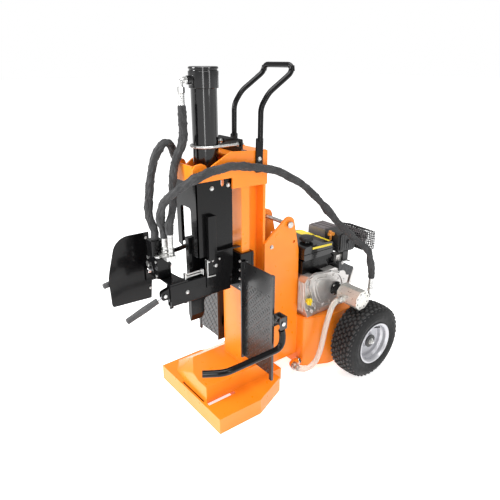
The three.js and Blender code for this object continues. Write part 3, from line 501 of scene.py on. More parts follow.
def dressed(name, mesh, look, body, stands_for, bevel, angle, segments):
    """The object for a mesh, with its look, edges, body and the node it stands for."""
    mesh.materials.clear()
    mesh.materials.append(look.material)
    mesh.shade_smooth()
    mesh.set_sharp_from_angle(angle=math.radians(angle))
    made = bpy.data.objects.new(name, mesh)
    scene.collection.objects.link(made)
    if bevel:
        modifier = made.modifiers.new("bevel", "BEVEL")
        modifier.width = bevel * MM
        modifier.segments = segments
        modifier.limit_method = "ANGLE"
        modifier.angle_limit = math.radians(angle)
        modifier.harden_normals = True
    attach(made, body)
    if stands_for:
        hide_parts(*([stands_for] if isinstance(stands_for, str) else stands_for))
    return made


def from_frame(name, node, look, body="frame", bevel=1.5, angle=32.0, segments=2):
    """The frame's own solid with rounded edges, as a piece that stands for it."""
    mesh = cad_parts[node].data.copy()
    mesh.name = name
    work = bmesh.new()
    work.from_mesh(mesh)
    bmesh.ops.remove_doubles(work, verts=work.verts, dist=1e-6)
    bmesh.ops.dissolve_limit(work, angle_limit=0.006, verts=work.verts, edges=work.edges)
    bmesh.ops.recalc_face_normals(work, faces=work.faces)
    work.to_mesh(mesh)
    work.free()
    return dressed(name, mesh, look, body, node, bevel, angle, segments)


def mirrored(half):
    """An outline or line completed on the other side of x = 0."""
    return [*half, *[(-p[0], *p[1:]) for p in reversed(half)]]


def flipped(shape):
    """The same shape on the other side of x = 0."""
    return [(-x, y, z) for x, y, z in shape[0]], [tuple(reversed(f)) for f in shape[1]]


def bead(*corners, radius=2.6):
    """A weld bead along a line, with its ripples."""

    def rippled(run, angle, share):
        lumps = noise.noise(Vector((run * 0.21, angle, radius)))
        return radius * (1 + 0.13 * math.sin(run * 1.7) + 0.1 * lumps)

    return sweep(spaced([Vector(c) for c in corners], 2.0), rippled, 8)


def ribbed_disc(radius, depth, ribs, low, high, x, y):
    """An upright grip with ribs round its rim."""
    ring = []
    for i in range(ribs * 4):
        angle = 2 * math.pi * i / (ribs * 4)
        r = radius if i % 4 < 2 else radius - depth
        ring.append((x + r * math.cos(angle), y + r * math.sin(angle)))
    return prism("z", low, high, ring)


# ------------------------------------------------------------------ shared places
# A pair is (y, z) for what turns or lies across the machine, and (x, y) for the two caps.
PLATE_INSIDE, PLATE_OUTSIDE = 78.3, 90
RAM_Y = -127
PORT_LOW, PORT_HIGH = 1030, 1514
CLAMP_Z = 1254
AXLE = (624, 203)
DRIVE = (548, 459)
BLOWER = (500, 455)
OIL_PLUG = (362, 434)
STOP_PIVOT = (10, 518)
PIN = (275, 848)
FUEL_CAP = (56, 430)
TANK_CAP = (-122, 404)

# ------------------------------------------------------------------ foot, mast and head
from_frame("foot_plates", "foot_base", ORANGE, bevel=2.0)
piece("foot_welds", merged(
    bead((79, 1, 167), (79, 118, 167)),
    bead((-79, -1, 167), (79, -1, 167), radius=3.0),
    bead((-79, 1, 167), (-79, 118, 167)),
    bead((130, 119, 82), (-259, 119, 82)),
), ORANGE)
from_frame("mast_sections", "mast_beam", ORANGE, bevel=1.4)
piece("mast_welds", merged(
    *[bead((x, 45, 260 + i * 170), (x, 45, 330 + i * 170), radius=2.0) for x in (-27, 27) for i in range(5)],
), ORANGE)

CHEEK = rounded([
    (138, 1067), (138, 1219), (-60, 1232), (-150, 1187), (-176, 1168), (-184, 1190, 8), (-205, 1200, 10),
    (-236, 1196, 8), (-248, 1180), (-248, 1122), (-54, 1122), (-54, 1074),
])
reach = PLATE_INSIDE + 1
port_plate = [(-reach, -246), (reach, -246), (reach, -0.3), (-reach, -0.3)]
piece("head_plates", merged(
    prism("x", PLATE_INSIDE, PLATE_INSIDE + 10, CHEEK),
    prism("x", -PLATE_INSIDE - 10, -PLATE_INSIDE, CHEEK),
    prism("z", 1122, 1134, port_plate, [circle(0, RAM_Y, 54.3, 64)]),
    box(-reach, reach, -62, 138, 1208.5, 1218),
    box(-reach, reach, -248, -238, 1122, 1192),
), ORANGE, stands_for="mast_head", bevel=1.8)
piece("head_welds", merged(
    *[bead((x, -236, 1135), (x, -8, 1135)) for x in (77, -77)],
    *[bead((x, -237, 1136), (x, -237, 1190)) for x in (77, -77)],
    *[bead((x, -55, 1219), (x, 134, 1219)) for x in (77, -77)],
    bead((-75, -236, 1136), (75, -236, 1136)),
), ORANGE)

SIDE = [(126, 96), (352, 96), (352, 420), (346, 700), *arc(*PIN, 37, 0.1, 2.3), (165, 812), (126, 780)]
SIDE_BOLT = (168, 756)
SIDE_HOLES = [circle(*PIN, 10.5), circle(313, 751, 7), circle(*SIDE_BOLT, 8)]
for name, x0, x1 in (("right", PLATE_INSIDE, PLATE_OUTSIDE), ("left", -PLATE_OUTSIDE, -PLATE_INSIDE)):
    piece(f"side_plate_{name}_sheet", prism("x", x0, x1, SIDE, SIDE_HOLES), ORANGE,
          stands_for=f"side_plate_{name}", bevel=1.6)
piece("side_plate_bolts", merged(
    *[bolt("x", side, side * PLATE_OUTSIDE, *SIDE_BOLT, 8.5) for side in (1, -1)],
), ZINC)
piece("side_plate_welds", merged(
    *[bead((x, 139, 180), (x, 139, 420), radius=2.4) for x in (79, -79)],
    *[bead((x, 352, 110), (x, 352, 320), radius=3.0) for x in (88, -88)],
), ORANGE)
piece("lifting_pin_bar", merged(
    rod("x", 10, 202, -102, *PIN, 48),
    turned("x", [(0, 0), (15, 0), (16, 1.5), (16, 5), (14, 7), (0, 7)], 99, *PIN, 48),
), ZINC, body="lifting_pin", stands_for="lifting_pin")

# ------------------------------------------------------------------ hydraulic ram
tube_base = 985
tube_length = 1482 - tube_base
piece("cylinder_barrel", merged(
    turned("z", [
        (45, 0), (52.5, 0), (54, 1.5), (54, tube_length - 1), (53, tube_length), (45, tube_length), (45, 0),
    ], 0, RAM_Y, tube_base, 96),
    turned("x", [(0, 0), (14, 0), (15, 1), (15, 33), (0, 33)], -88, RAM_Y, PORT_LOW, 48),
    sweep(bent([(-70, RAM_Y, PORT_LOW), (-88, RAM_Y, PORT_LOW), (-88, RAM_Y, 1062)], 9), 10, 32),
    nut("z", 15, 20, -88, RAM_Y, 1058),
    turned("x", [(16, 0), (19, 2), (20, 6), (16, 7)], -58.5, RAM_Y, PORT_LOW, 48),
), RAM, stands_for="cylinder_tube")
cap_base = 1482.3
cap_high = 1564 - cap_base
piece("cylinder_end_cap", merged(
    turned("z", [
        (45, 0), (60, 0), (61, 1), *[(r, cap_high - down) for r, down in (
            (61, 18), (60.2, 17), (57, 16), (56.6, 13), (57, 10), (60, 9), (60.3, 6), (59.6, 3), (57, 0.6),
            (55, 0), (22, 0), (20, 2), (0, 2), (0, 18), (45, 18))], (45, 0),
    ], 0, RAM_Y, cap_base, 96),
    turned("y", [(0, 0), (15.5, 0), (17, 1.2), (17, 22), (0, 22)], 0, -205, PORT_HIGH, 48),
    turned("y", [(17, 0), (20.5, 3), (17, 3)], 0, -190, PORT_HIGH, 48),
), RAM, stands_for="cylinder_cap")


def ferrule(x, y, low, high, radius):
    """A crimped hose ferrule: two smooth collars and shallow crimp rings."""
    length = high - low
    profile = [(0, 0), (radius - 1.2, 0), (radius, 1.2)]
    rings = 5
    pitch = (length - 12) / rings
    for i in range(rings):
        at = 6 + (length - 12) * i / rings
        for depth, share in ((0, 0), (0.9, 0.25), (0.9, 0.6), (0, 0.85)):
            profile.append((radius - depth, at + pitch * share))
    profile += [(radius, length - 1.2), (radius - 1.2, length), (0, length)]
    return turned("z", profile, x, y, low, 48)


piece("upper_port_fitting", merged(
    nut("y", 15, 13, 0, -219, PORT_HIGH),
    rod("y", 10, 6, 0, -225, PORT_HIGH, 48),
    sweep(bent([(0, -215, PORT_HIGH), (0, -232, PORT_HIGH), (0, -232, 1486)], 12), 9.5, 32),
    nut("z", 15, 23, 0, -232, 1466),
    ferrule(0, -232, 1420, 1466, 12.5),
), ZINC, stands_for="cylinder_port_elbow")
gland_profile = [(25.5, 0), (55.5, 0), (57, 1.5), (57, 12.5), (56, 14), (25.5, 14), (25.5, 0)]
piece("rod_gland", merged(
    turned("z", gland_profile, 0, RAM_Y, 970.7, 96),
    collar("z", 25.5, 44.5, 45, 0, RAM_Y, 980, 64),
), RAM, stands_for="cylinder_gland")
rod_profile = [(0, 0), (24, 0), (25, 1.2), (25, 518.7), (24, 519.7), (0, 519.7)]
piece("chromed_rod", turned("z", rod_profile, 0, RAM_Y, 790.3, 96), CHROME, "ram_head", "piston_rod")
piston_profile = [
    (0, 0), (43.5, 0), (44.5, 1), (44.5, 10), (42, 10.5), (42, 16), (44.5, 16.5), (44.5, 30), (42, 30.5),
    (42, 36), (44.5, 36.5), (44.5, 47), (43.5, 48), (0, 48),
]
piece("ram_piston", turned("z", piston_profile, 0, RAM_Y, 1310.3, 96), ZINC, "ram_head", "piston")

clamp_plan = [(61, 25), *arc(0, RAM_Y, 61, 0.0, -math.pi, 40), (-61, 25)]
clamp_path = spaced([Vector((x, y, CLAMP_Z)) for x, y in clamp_plan], 1.2)
clamp_run = sum((b - a).length for a, b in zip(clamp_path, clamp_path[1:]))


def threaded(run, angle, share):
    """A bar with a thread cut on both ends."""
    near_end = min(run, clamp_run - run)
    return 6 - 0.45 * (0.5 + 0.5 * math.sin(run * 3.6 + angle)) if near_end < 42 else 6


piece("cylinder_clamp_bolt", merged(
    sweep(clamp_path, threaded, 20),
    *[nut("y", 11, 9, x, 8.3, CLAMP_Z) for x in (61, -61)],
    *[rod("y", 12.5, 1.6, x, 8.1, CLAMP_Z) for x in (61, -61)],
    *[nut("y", 11, 7, x, -8.3, CLAMP_Z) for x in (61, -61)],
), ZINC, stands_for="cylinder_u_bolt")
piece("clamp_bracket", merged(
    prism("y", 0, 8, oblong(-96, 80, 1232, 1276, 6), [circle(61, CLAMP_Z, 6.4), circle(-61, CLAMP_Z, 6.4)]),
    box(-70, 70, 0, 36, 1218.3, 1226),
    box(-70, 70, 0.2, 8, 1218.3, 1240),
), BLACK, stands_for="clamp_plate", bevel=1.0)

# ------------------------------------------------------------------ sliding wedge head
CARRIAGE = (578, 764)
piece("wedge_carriage", merged(
    box(-92, 92, -16, -1.5, *CARRIAGE),
    box(79.5, 92, -5, 46.5, *CARRIAGE),
    box(-92, -79.5, -5, 46.5, *CARRIAGE),
), BLACK, body="ram_head", stands_for="wedge_head", bevel=1.6)
piece("wedge_carriage_bolts", merged(
    *[bolt("y", -1, x, -16, 600 + i * 43, 6.5) for x in (-86, 86) for i in range(4)],
    *[bolt("y", 1, x, 58.6, 600 + i * 48, 7) for x in (-80, 80) for i in range(4)],
), ZINC, body="ram_head")
for name, x0, x1 in (("right", 32, 92), ("left", -92, -32)):
    keeper = box(x0, x1, 46.8, 58.8, *CARRIAGE)
    piece(f"keeper_{name}", keeper, BLACK, "ram_head", f"keeper_bar_{name}", bevel=1.4)
from_frame("wedge_blade", "splitting_wedge", BLACK, "ram_head", bevel=1.2)
piece("wedge_welds", merged(
    *[bead((x, -17, 590), (x, -17, 762), radius=3.2) for x in (15, -15)],
), BLACK, body="ram_head")

# ------------------------------------------------------------------ guard, control arm and valve
guard_face = rounded([
    (72, 790), (72, 1117), (-95, 1117), (-95, 820), (-70, 812), (-62, 812), (-62, 1003, 16), (22, 1003, 18),
    (22, 790),
])
guard_side = rounded([
    (-227, 790), (-227, 1117), (-103, 1117), (-103, 1094, 4), (-98, 1088, 4), (-89, 1088, 4), (-84, 1094, 4),
    (-84, 1117), (-46, 1117), (-46, 790),
])
piece("guard_plates", merged(
    prism("y", -227, -222, guard_face),
    prism("x", 67, 72, guard_side),
    box(-95, -90, -226, -196, 820, 1117),
    box(62, 68, -150, -108, 1090, 1121.7),
    box(62, 68, -79, -54, 1090, 1121.7),
), BLACK, stands_for="ram_guard", bevel=0.9)
piece("guard_bolts", merged(*[bolt("x", 1, 72, y, z, 8) for y, z in ((-150, 1087), (-66, 1090))]), ZINC)

hanger = rounded([(-192, 640), (-192, 770), (-160, 806), (-50, 806), (-50, 700), (-90, 640)], 4)
ear = rounded([(-371, 640), (-412, 640, 12), (-412, 680, 12), (-371, 690)])
piece("control_arm_tube", merged(
    prism("y", -372, -62, oblong(42, 72, 600, 700, 5), [hole(oblong(47, 67, 605, 695, 2))]),
    prism("x", 72, 77, hanger),
    pad("z", 776, 975, 72.3, 98, -188, -148, 3),
    box(72, 86, -192, -122, 706, 778),
    box(82, 88, -160, -122, 712, 772),
    prism("z", 805, 811, [(72.3, -165), (90, -165), (100, -22), (72.3, -30)]),
    prism("x", 46, 50, ear),
    prism("x", 64, 68, ear),
    box(46, 68, -376, -371, 625, 692),
    box(52, 62, -372, -356, 588, 602),
    box(52, 62, -300, -286, 592, 602),
), BLACK, stands_for="control_arm", bevel=0.9)
clip_side = [(-194.5, 696), (-150, 694), (-150, 699), (-189, 701), (-189, 778), (-194.5, 778)]
piece("control_arm_bolts", merged(
    rod("x", 5, 30, 42, -396, 660, 32),
    nut("x", 9, 6, 68, -396, 660),
    bolt("x", 1, 72, -290, 650, 7.5),
    bolt("x", 1, 86, -150, 745, 9.0),
    *[bolt("x", 1, 86, y, 770, 4.5) for y in (-184, -165, -130)],
    box(70, 87, -194.5, -192, 700, 778),
    prism("x", 84, 86.5, clip_side),
), ZINC)
SPOOL_X, SPOOL_Z = -50, 742
from_frame("valve_bracket", "valve_shelf", BLACK, bevel=1.0)
piece("valve_housing", merged(
    prism("y", -386, -322, oblong(-98, -4, 707.3, 800, 5), [circle(SPOOL_X, SPOOL_Z, 9.2)]),
    pad("z", 799, 868, -98, -40, -386, -330, 7),
    rod("y", 15, 6, SPOOL_X, -391, SPOOL_Z, 48),
    box(-94, -8, -389, -320, 770, 776),
), BLACK, stands_for="valve_body", bevel=1.2)
piece("valve_details", merged(
    *[nut("y", 6, 5, x, -391, z) for x, z in ((-86, 722), (-14, 722), (-86, 786), (-14, 786))],
    nut("z", 13, 8, -69, -358, 868),
    rod("z", 9, 5, -18, -372, 800),
    nut("z", 13, 9, -24, -374, 800),
    nut("y", 13, 8, -86, -394, 756),
), ZINC)
piece("spool_bar", merged(
    rod("y", 8.5, 104, SPOOL_X, -400, SPOOL_Z, 48, chamfer=1.0),
    rod("y", 11, 14, SPOOL_X, -412, SPOOL_Z, 48, chamfer=1.0),
), CHROME, body="valve_spool", stands_for="valve_spool")


def union(x, y, low, high):
    """An upright hose end: a nut on the port, a swivel nut and the ferrule."""
    return merged(
        nut("z", 16.5, 12, x, y, low),
        rod("z", 11.3, 6, x, y, low + 11, 40),
        nut("z", 16, 12, x, y, low + 16),
        ferrule(x, y, low + 27, high, 12.8),
    )


piece("valve_port_fittings", merged(
    pad("z", 800.3, 818, -38, 44, -362, -318, 5),
    union(-18, -338, 818, 885),
    union(22, -332, 818, 910),
    rod("y", 11, 40, -80, -321, 790, 48),
    nut("y", 17, 14, -80, -302, 790),
    rod("y", 15, 7, -80, -288, 790, 48, chamfer=1.0),
    pad("y", -321.6, -310, -91, -30, 780, 812, 5),
), ZINC, stands_for="valve_ports")

return_run = bent([
    (-80, -280.5, 790), (-80, -235, 790), (-116, -150, 790), (-116, 215, 780), (-116, 215, 240),
    (-116, 352, 240),
], 42)
piece("return_line", merged(
    sweep(return_run, 10, 32),
    nut("y", 15, 16, -116, 338, 240),
    turned("y", [(10, 0), (13, 1), (13, 14), (10, 15)], -80, -281, 790, 40),
), BLACK, stands_for="return_pipe")

shield = rounded([
    (-340, 873), (-460, 875, 26), (-505, 846, 30), (-541, 716, 24), (-545, 689, 14), (-541, 556, 14),
    (-349, 548, 4), (-340, 640, 4),
])
piece("shield_sheet", merged(
    prism("x", -166, -162, shield),
    pad("x", -163, -158.3, -366, -330, 650, 700, 4),
    rod("x", 9, 3, -195, -400, 694, 32),
), BLACK, stands_for="shield_plate", bevel=0.8)
piece("shield_bolts", merged(
    rod("x", 5, 28, -192, -400, 694, 32),
    *[bolt("x", 1, -162, y, z, 5) for y, z in ((-356, 848), (-352, 760), (-352, 740), (-352, 600))],
), ZINC)


HUB_PROFILE = [(5.3, 0), (10, 0), (11, 1), (11, 12), (10, 13), (5.3, 13), (5.3, 0)]


def lever(side, x, y, z, reach):
    """A lever's hub and bent shaft."""
    shaft = bent([(x, y, z), (x, y - 14, z - 10), reach], 10, 2.0)
    hub = turned("x", HUB_PROFILE, x - 6.5, y, z, 48)
    beyond_hub = [p for p in shaft if (p - Vector((x, y, z))).length > 9.5]
    name = f"lever_{side}"
    piece(f"{name}_shaft", merged(hub, sweep(beyond_hub, 8, 32)), CHROME, name, name)


def grip(side, start, end):
    """A rubber grip: a collar, a ribbed middle and a rounded end."""
    a, b = Vector(start), Vector(end)
    a = a + (b - a).normalized() * 0.3
    length = (b - a).length

    def radius(run, angle, share):
        if run < 5:
            return 12.5 + 2.2 * math.sin(min(run / 5, 1) * math.pi)
        if length - run < 4:
            return 12.5 * math.sqrt(max(0.0, 1 - (1 - (length - run) / 4) ** 2) * 0.4 + 0.6)
        flutes = 0.8 * (0.5 + 0.5 * math.cos(angle * 12))
        bands = 0.5 if run % 9 < 6.6 else 0.0
        swell = 1.6 * math.sin(math.pi * min(1.0, share * 1.15)) ** 2
        return 12.4 + flutes + bands + swell

    shape = sweep(spaced([a, b], 0.8), radius, 72)
    piece(f"lever_{side}_handgrip", shape, GRIP, f"lever_{side}", f"lever_grip_{side}", angle=50)


lever("right", 57, -396, 660, (57, -455, 634))
lever("left", -182, -400, 694, (-182, -454, 677.6))
grip("right", (57, -428, 643.6), (57, -571, 592.8))
grip("left", (-182, -436, 680.5), (-182, -566, 659.7))

piece("tie_rod_pair", merged(
    *[rod("y", 4, 88, 62, -290, z, 24) for z in (716, 728)],
    *[nut("y", 7, 5, 62, y, z) for y in (-291, -213) for z in (716, 728)],
    pad("y", -297, -292, 54, 70, 707.3, 736, 3),
    box(56, 71.7, -208, -204, 708, 735),
), ZINC, stands_for="tie_rods", bevel=0.3)

# ------------------------------------------------------------------ push handle
leg = [(95, 90, 1262), (95, 92, 1402), (95, 134, 1458), (95, 262, 1538), (91, 262, 1567)]
handle_path = bent([*leg, *[(-x, y, z) for x, y, z in reversed(leg)]], 26, 3.0)
foot_plan = [(66, 1128), (70, 1276), (106, 1276), (102, 1128)]
piece("handle_tube", merged(
    sweep(handle_path, 12, 36),
    *[prism("x", *sorted((side * 88.6, side * 97.6)), rounded(foot_plan, 6)) for side in (1, -1)],
), BLACK, stands_for="push_handle", bevel=0.8, angle=40)
piece("handle_bolts", merged(
    *[bolt("x", side, side * 97.6, 84, z, 8) for z in (1187, 1148) for side in (1, -1)],
), ZINC)

# ------------------------------------------------------------------ log wings and stop bar
def lozenge(x, z, turn, face, out):
    """One raised bar of the tread pattern, on a face that looks along -Y."""
    rim = [(-11, 0), (-6, 2.2), (0, 2.9), (6, 2.2), (11, 0), (6, -2.2), (0, -2.9), (-6, -2.2)]
    c, s = math.cos(turn), math.sin(turn)
    points, faces = [], []
    for scale, depth in ((1.0, 0.1), (0.62, out)):
        for u, v in rim:
            u, v = u * scale, v * scale
            points.append((x + u * c - v * s, face - depth, z + u * s + v * c))
    for i in range(8):
        j = (i + 1) % 8
        faces.append((i, j, j + 8, i + 8))
    faces.append(tuple(range(8, 16)))
    faces.append(tuple(reversed(range(8))))
    return points, faces


def wing(side):
    """A log wing's plates and the raised bars of its tread."""
    plates = [
        box(104, 294, -5, 0, 224, 730),
        box(98, 106, -24, 16, 224, 730),
        box(292, 310, -8, 4, 198, 730),
        *[prism("z", low, low + 60, [(98, -2), (112, -2), (112, 122), (98, 122)]) for low in (300, 520)],
    ]
    if side > 0:
        plates += [
            pad("x", 308, 316, -6, 34, 488, 548, 5),
            box(308, 362, 28, 34, 524, 548),
            pad("x", 356, 362, -6, 34, 488, 548, 5),
        ]
    bars = []
    rows, columns = 30, 14
    for row in range(rows):
        for column in range(columns):
            if (row + column) % 2:
                continue
            turn = math.radians(45 if (column // 2 + row // 2) % 2 else -45)
            bars.append(lozenge(116 + column * 12.8, 234 + row * 13.3, turn, -5, 2.0))
    name = "right"
    if side < 0:
        name = "left"
        plates = [flipped(plate) for plate in plates]
        bars = [flipped(bar) for bar in bars]
    piece(f"log_wing_{name}_plates", merged(*plates), TREAD, stands_for=f"log_wing_{name}", bevel=1.0)
    piece(f"log_wing_{name}_tread", merged(*bars), TREAD)


wing(1)
wing(-1)
piece("log_wing_bolts", merged(
    *[bolt("x", -1, -98, 60 + i * 36, z, 7) for z in (330, 550) for i in range(2)],
    rod("x", 6, 52, 310, *STOP_PIVOT, 32),
    nut("x", 11, 6, 362, *STOP_PIVOT),
), ZINC)

bar_path = bent([
    (340, 10, 510), (340, 32, 442), (340, 20, 382), (340, -60, 380), (340, -285, 380), (288, -364, 380),
], 34, 3.0)
piece("stop_bar_tube", merged(
    turned("x", [(6.6, 0), (13, 0), (14, 1), (14, 19), (13, 20), (6.6, 20), (6.6, 0)], 330, *STOP_PIVOT, 48),
    sweep([p for p in bar_path if (p - Vector((340, *STOP_PIVOT))).length > 10], 15, 40),
), BLACK, body="stop_bar", stands_for="stop_bar")

# ------------------------------------------------------------------ oil tank, axle and wheels
tank_plan = rounded(mirrored([(95, 353, 6), (135, 362, 14), (170, 428, 20), (205, 500, 20), (205, 596, 12)]))
plate_plan = mirrored([(96, 353), (132, 362), (205, 500), (205, 770)])
saddle = rounded([(580, 150), (665, 150), (665, 250, 30), (640, 323), (580, 323)])
axle_hole = [circle(*AXLE, 17.4, 40)]
gusset_side = [(612, 322), (760, 322), (760, 306), (700, 290), (612, 290)]
piece("oil_tank_shell", merged(
    prism("z", 30, 322, tank_plan),
    prism("z", 321, 330, plate_plan, [circle(*TANK_CAP, 20)]),
    prism("x", 190, 200, saddle, axle_hole),
    prism("x", -200, -190, saddle, axle_hole),
    *[prism("x", x, x + 6, gusset_side) for x in (-150, 144)],
), ORANGE, stands_for="oil_tank", bevel=2.0)
seam = rounded(mirrored([(96, 353.5), (134.5, 362.5, 14), (169.5, 428, 20), (203.5, 499, 20), (203.5, 594)]))
piece("oil_tank_welds", merged(
    bead(*[(x, y, 321) for x, y in seam[:-1]], radius=2.6),
    bead(*[(x, y, 31.5) for x, y in seam[:-1]], radius=2.6),
), ORANGE)
piece("oil_filler_cap", merged(
    rod("z", 19, 22, *TANK_CAP, 309, 48),
    ribbed_disc(25, 1.3, 24, 330.3, 344, *TANK_CAP),
    turned("z", [(0, 0), (23.5, 0), (21, 2.3), (0, 2.6)], *TANK_CAP, 344, 48),
), PLASTIC, body="tank_filler_cap", stands_for="tank_filler_cap")
piece("suction_outlet", merged(
    nut("y", 22, 16, 122, 334, 66),
    turned("x", [
        (0, 0), (21, 0), (22.5, 1.2), (22.5, 5), (19.5, 6), (19.5, 8), (22.5, 9), (22.5, 14),
        (19.5, 15.5), (19.5, 17), (21.5, 18), (20.5, 22), (0, 22),
    ], 141, 292, 66, 64),
), ZINC, stands_for="tank_outlet")
outlet_run = bent([(122, 352.5, 66), (122, 292, 66), (145, 292, 66)], 18)
piece("suction_outlet_elbow", sweep(outlet_run, 17, 40), ORANGE)
piece("wheel_axle", turned("x", [
    (0, -363), (10.5, -363), (12, -361.5), (12, -290), (16, -290), (17, -289),
    (17, 289), (16, 290), (12, 290), (12, 361.5), (10.5, 363), (0, 363),
], 0, *AXLE, 64), BLACK, stands_for="axle")


def rounder(profile, radius=4.0, steps=5):
    """A turned profile with its corners rounded."""
    at = [Vector(p) for p in profile]
    out = [tuple(at[0])]
    for i in range(1, len(at) - 1):
        before, after = at[i - 1] - at[i], at[i + 1] - at[i]
        r = min(radius, before.length * 0.45, after.length * 0.45)
        a, b = at[i] + before.normalized() * r, at[i] + after.normalized() * r
        for t in [k / steps for k in range(steps + 1)]:
            out.append(tuple(a * (1 - t) ** 2 + at[i] * 2 * t * (1 - t) + b * t * t))
    out.append(tuple(at[-1]))
    return out


TYRE_SECTION = rounder([
    (103, -60), (112, -65), (116, -69), (124, -71), (140, -75), (160, -74), (178, -69), (189, -58),
    (194, -44), (196, -20), (196, 20), (194, 44), (190, 58), (178, 69), (160, 74), (140, 75), (124, 71),
    (116, 69), (112, 65), (103, 60), (150, 62), (184, 0), (150, -62), (103, -60),
], 6, 4)
RIM_SECTION = rounder([
    (13, -22), (46, -22), (46, 2), (86, 8), (86, -42), (94, -62), (106, -72), (112, -72), (112, -68),
    (101, -62), (101, -56), (92, -40), (92, 28), (102, 42), (102, 61), (113, 69), (113, 73), (107, 73),
    (97, 64), (96, 46), (86, 34), (86, 16), (44, 10), (36, 34), (13, 34), (13, -22),
], 3, 4)


def tread_block(angle, along, radius, width, length, height, skew=0.0):
    """One rubber block, set on the tyre at an angle round it."""
    points, faces = box(-width / 2, width / 2, -length / 2, length / 2, 0, height)
    tapered = [(x * 0.86, y * 0.86, z) if z > 0 else (x, y, z) for x, y, z in points]
    seat = Matrix.Translation((along, 0, radius)) @ Matrix.Rotation(skew, 4, "Z")
    return placed((tapered, faces), Matrix.Rotation(angle, 4, "X") @ seat)


TREAD_ROWS = [
    (-52, 189, 13), (-34, 194, 12), (-17, 195.5, 11), (0, 195.5, 11), (17, 195.5, 11), (34, 194, 12),
    (52, 189, 13),
]


def wheel(side):
    """A wheel: casing, tread, rings, rim, bearing, nut and valve."""
    name = "right" if side > 0 else "left"
    body = f"wheel_{name}"
    hub = Matrix.Translation((side * 330, *AXLE)) @ Matrix.Rotation(0 if side > 0 else math.pi, 4, "Z")

    def here(shape):
        return placed(shape, hub)

    casing = here(turned("x", TYRE_SECTION, 0, 0, 0, 96))
    piece(f"tyre_{name}_casing", casing, TYRE, body, f"tyre_{name}", angle=50)
    blocks = []
    count = 40
    for row, (along, radius, width) in enumerate(TREAD_ROWS):
        for i in range(count):
            angle = 2 * math.pi * (i + 0.5 * (row % 2)) / count
            tip = 7.3 if abs(along) < 40 else 8.0
            blocks.append(tread_block(angle, along, radius, width, 20.5, tip, 0.34 * (1 if row % 2 else -1)))
    for i in range(count):
        for end in (-1, 1):
            angle = 2 * math.pi * (i + 0.25) / count
            blocks.append(tread_block(angle, end * 62, 178, 7, 12, 8))
    piece(f"tyre_{name}_tread", here(merged(*blocks)), BLOCK, body, bevel=1.2, segments=1)
    rings = [turned("x", [(r, end * 75.2), (r + 1.6, end * 76.0), (r + 3.2, end * 75.2)], 0, 0, 0, 96)
             for r, end in ((141, 1), (155, 1), (141, -1))]
    piece(f"tyre_{name}_rings", here(merged(*rings)), TYRE, body, angle=60)
    piece(f"rim_{name}_disc", here(turned("x", RIM_SECTION, 0, 0, 0, 96)), RIM, body, f"rim_{name}", angle=40)
    piece(f"rim_{name}_bearing", here(merged(
        turned("x", [(12.5, 0), (34, 0), (35, 2), (35, 6), (26, 9), (12.5, 9), (12.5, 0)], 34.2, 0, 0, 64),
        collar("x", 12.5, 30, 6, -28.2, 0, 0, 64),
    )), PLASTIC, body)
    piece(f"rim_{name}_nut", here(merged(
        rod("x", 17, 2.5, 43.4, 0, 0, 40),
        nut("x", 14, 9, 45.9, 0, 0),
        turned("x", [(0, 0), (8, 0), (8, 5), (6, 7), (0, 7)], 54.8, 0, 0, 32),
    )), ZINC, body)
    lean = Matrix.Translation((22, 0, 72)) @ Matrix.Rotation(math.radians(64), 4, "Y")
    stem = Matrix.Rotation(math.radians(-35), 4, "X") @ lean
    piece(f"rim_{name}_valve", here(placed(merged(
        turned("z", [(0, 0), (5.5, 0), (4.2, 12), (3.4, 24), (3.4, 30), (0, 30)], 0, 0, 0, 24),
        rod("z", 4, 8, 0, 0, 29, 20),
    ), stem)), PLASTIC, body)


wheel(1)
wheel(-1)

# ------------------------------------------------------------------ engine
CASE_SIDE = rounded([
    (372, 330.3), (640, 330.3), (655, 400, 20), (650, 520, 20), (560, 566), (400, 566), (357, 530, 20),
    (357, 400, 20),
])
FLANK = rounded([
    (362, 352, 14), (600, 352, 20), (648, 450, 30), (596, 545, 40), (500, 566, 20), (366, 566, 8),
    (345, 540, 8), (345, 400, 20),
])
COVER = rounded([
    (425, 360, 20), (600, 352, 30), (640, 450, 40), (598, 535, 40), (512, 564, 24), (398, 578, 12),
    (362, 560, 12), (357, 516, 8), (386, 424, 20),
])
cylinder_side = [(610, 440), (680, 415), (706, 512), (630, 552)]
fin_side = rounded([(600, 516), (712, 474), (732, 520), (640, 562)], 9)
head_side = rounded([(698, 416), (716, 410), (740, 506), (724, 511)], 5)
fin_shroud = rounded([(585, 540), (640, 532), (648, 566), (600, 590), (585, 590)], 4)
flank_rib = [(340.5, 372), (346, 366), (346, 536), (340.5, 530)]
cover_bolts = []
for y, z in shrunk(COVER, 0.985)[::5]:
    cover_bolts += [rod("x", 7, 3, 157, y, z, 24), nut("x", 5.6, 5, 160, y, z)]


def spokes(count, start, x, y, z, bar):
    """Bars set round a point, like the spokes of a wheel across X."""
    turns = [Matrix.Rotation(start + 2 * math.pi * k / count, 4, "X") for k in range(count)]
    return [placed(bar, Matrix.Translation((x, y, z)) @ turn) for turn in turns]


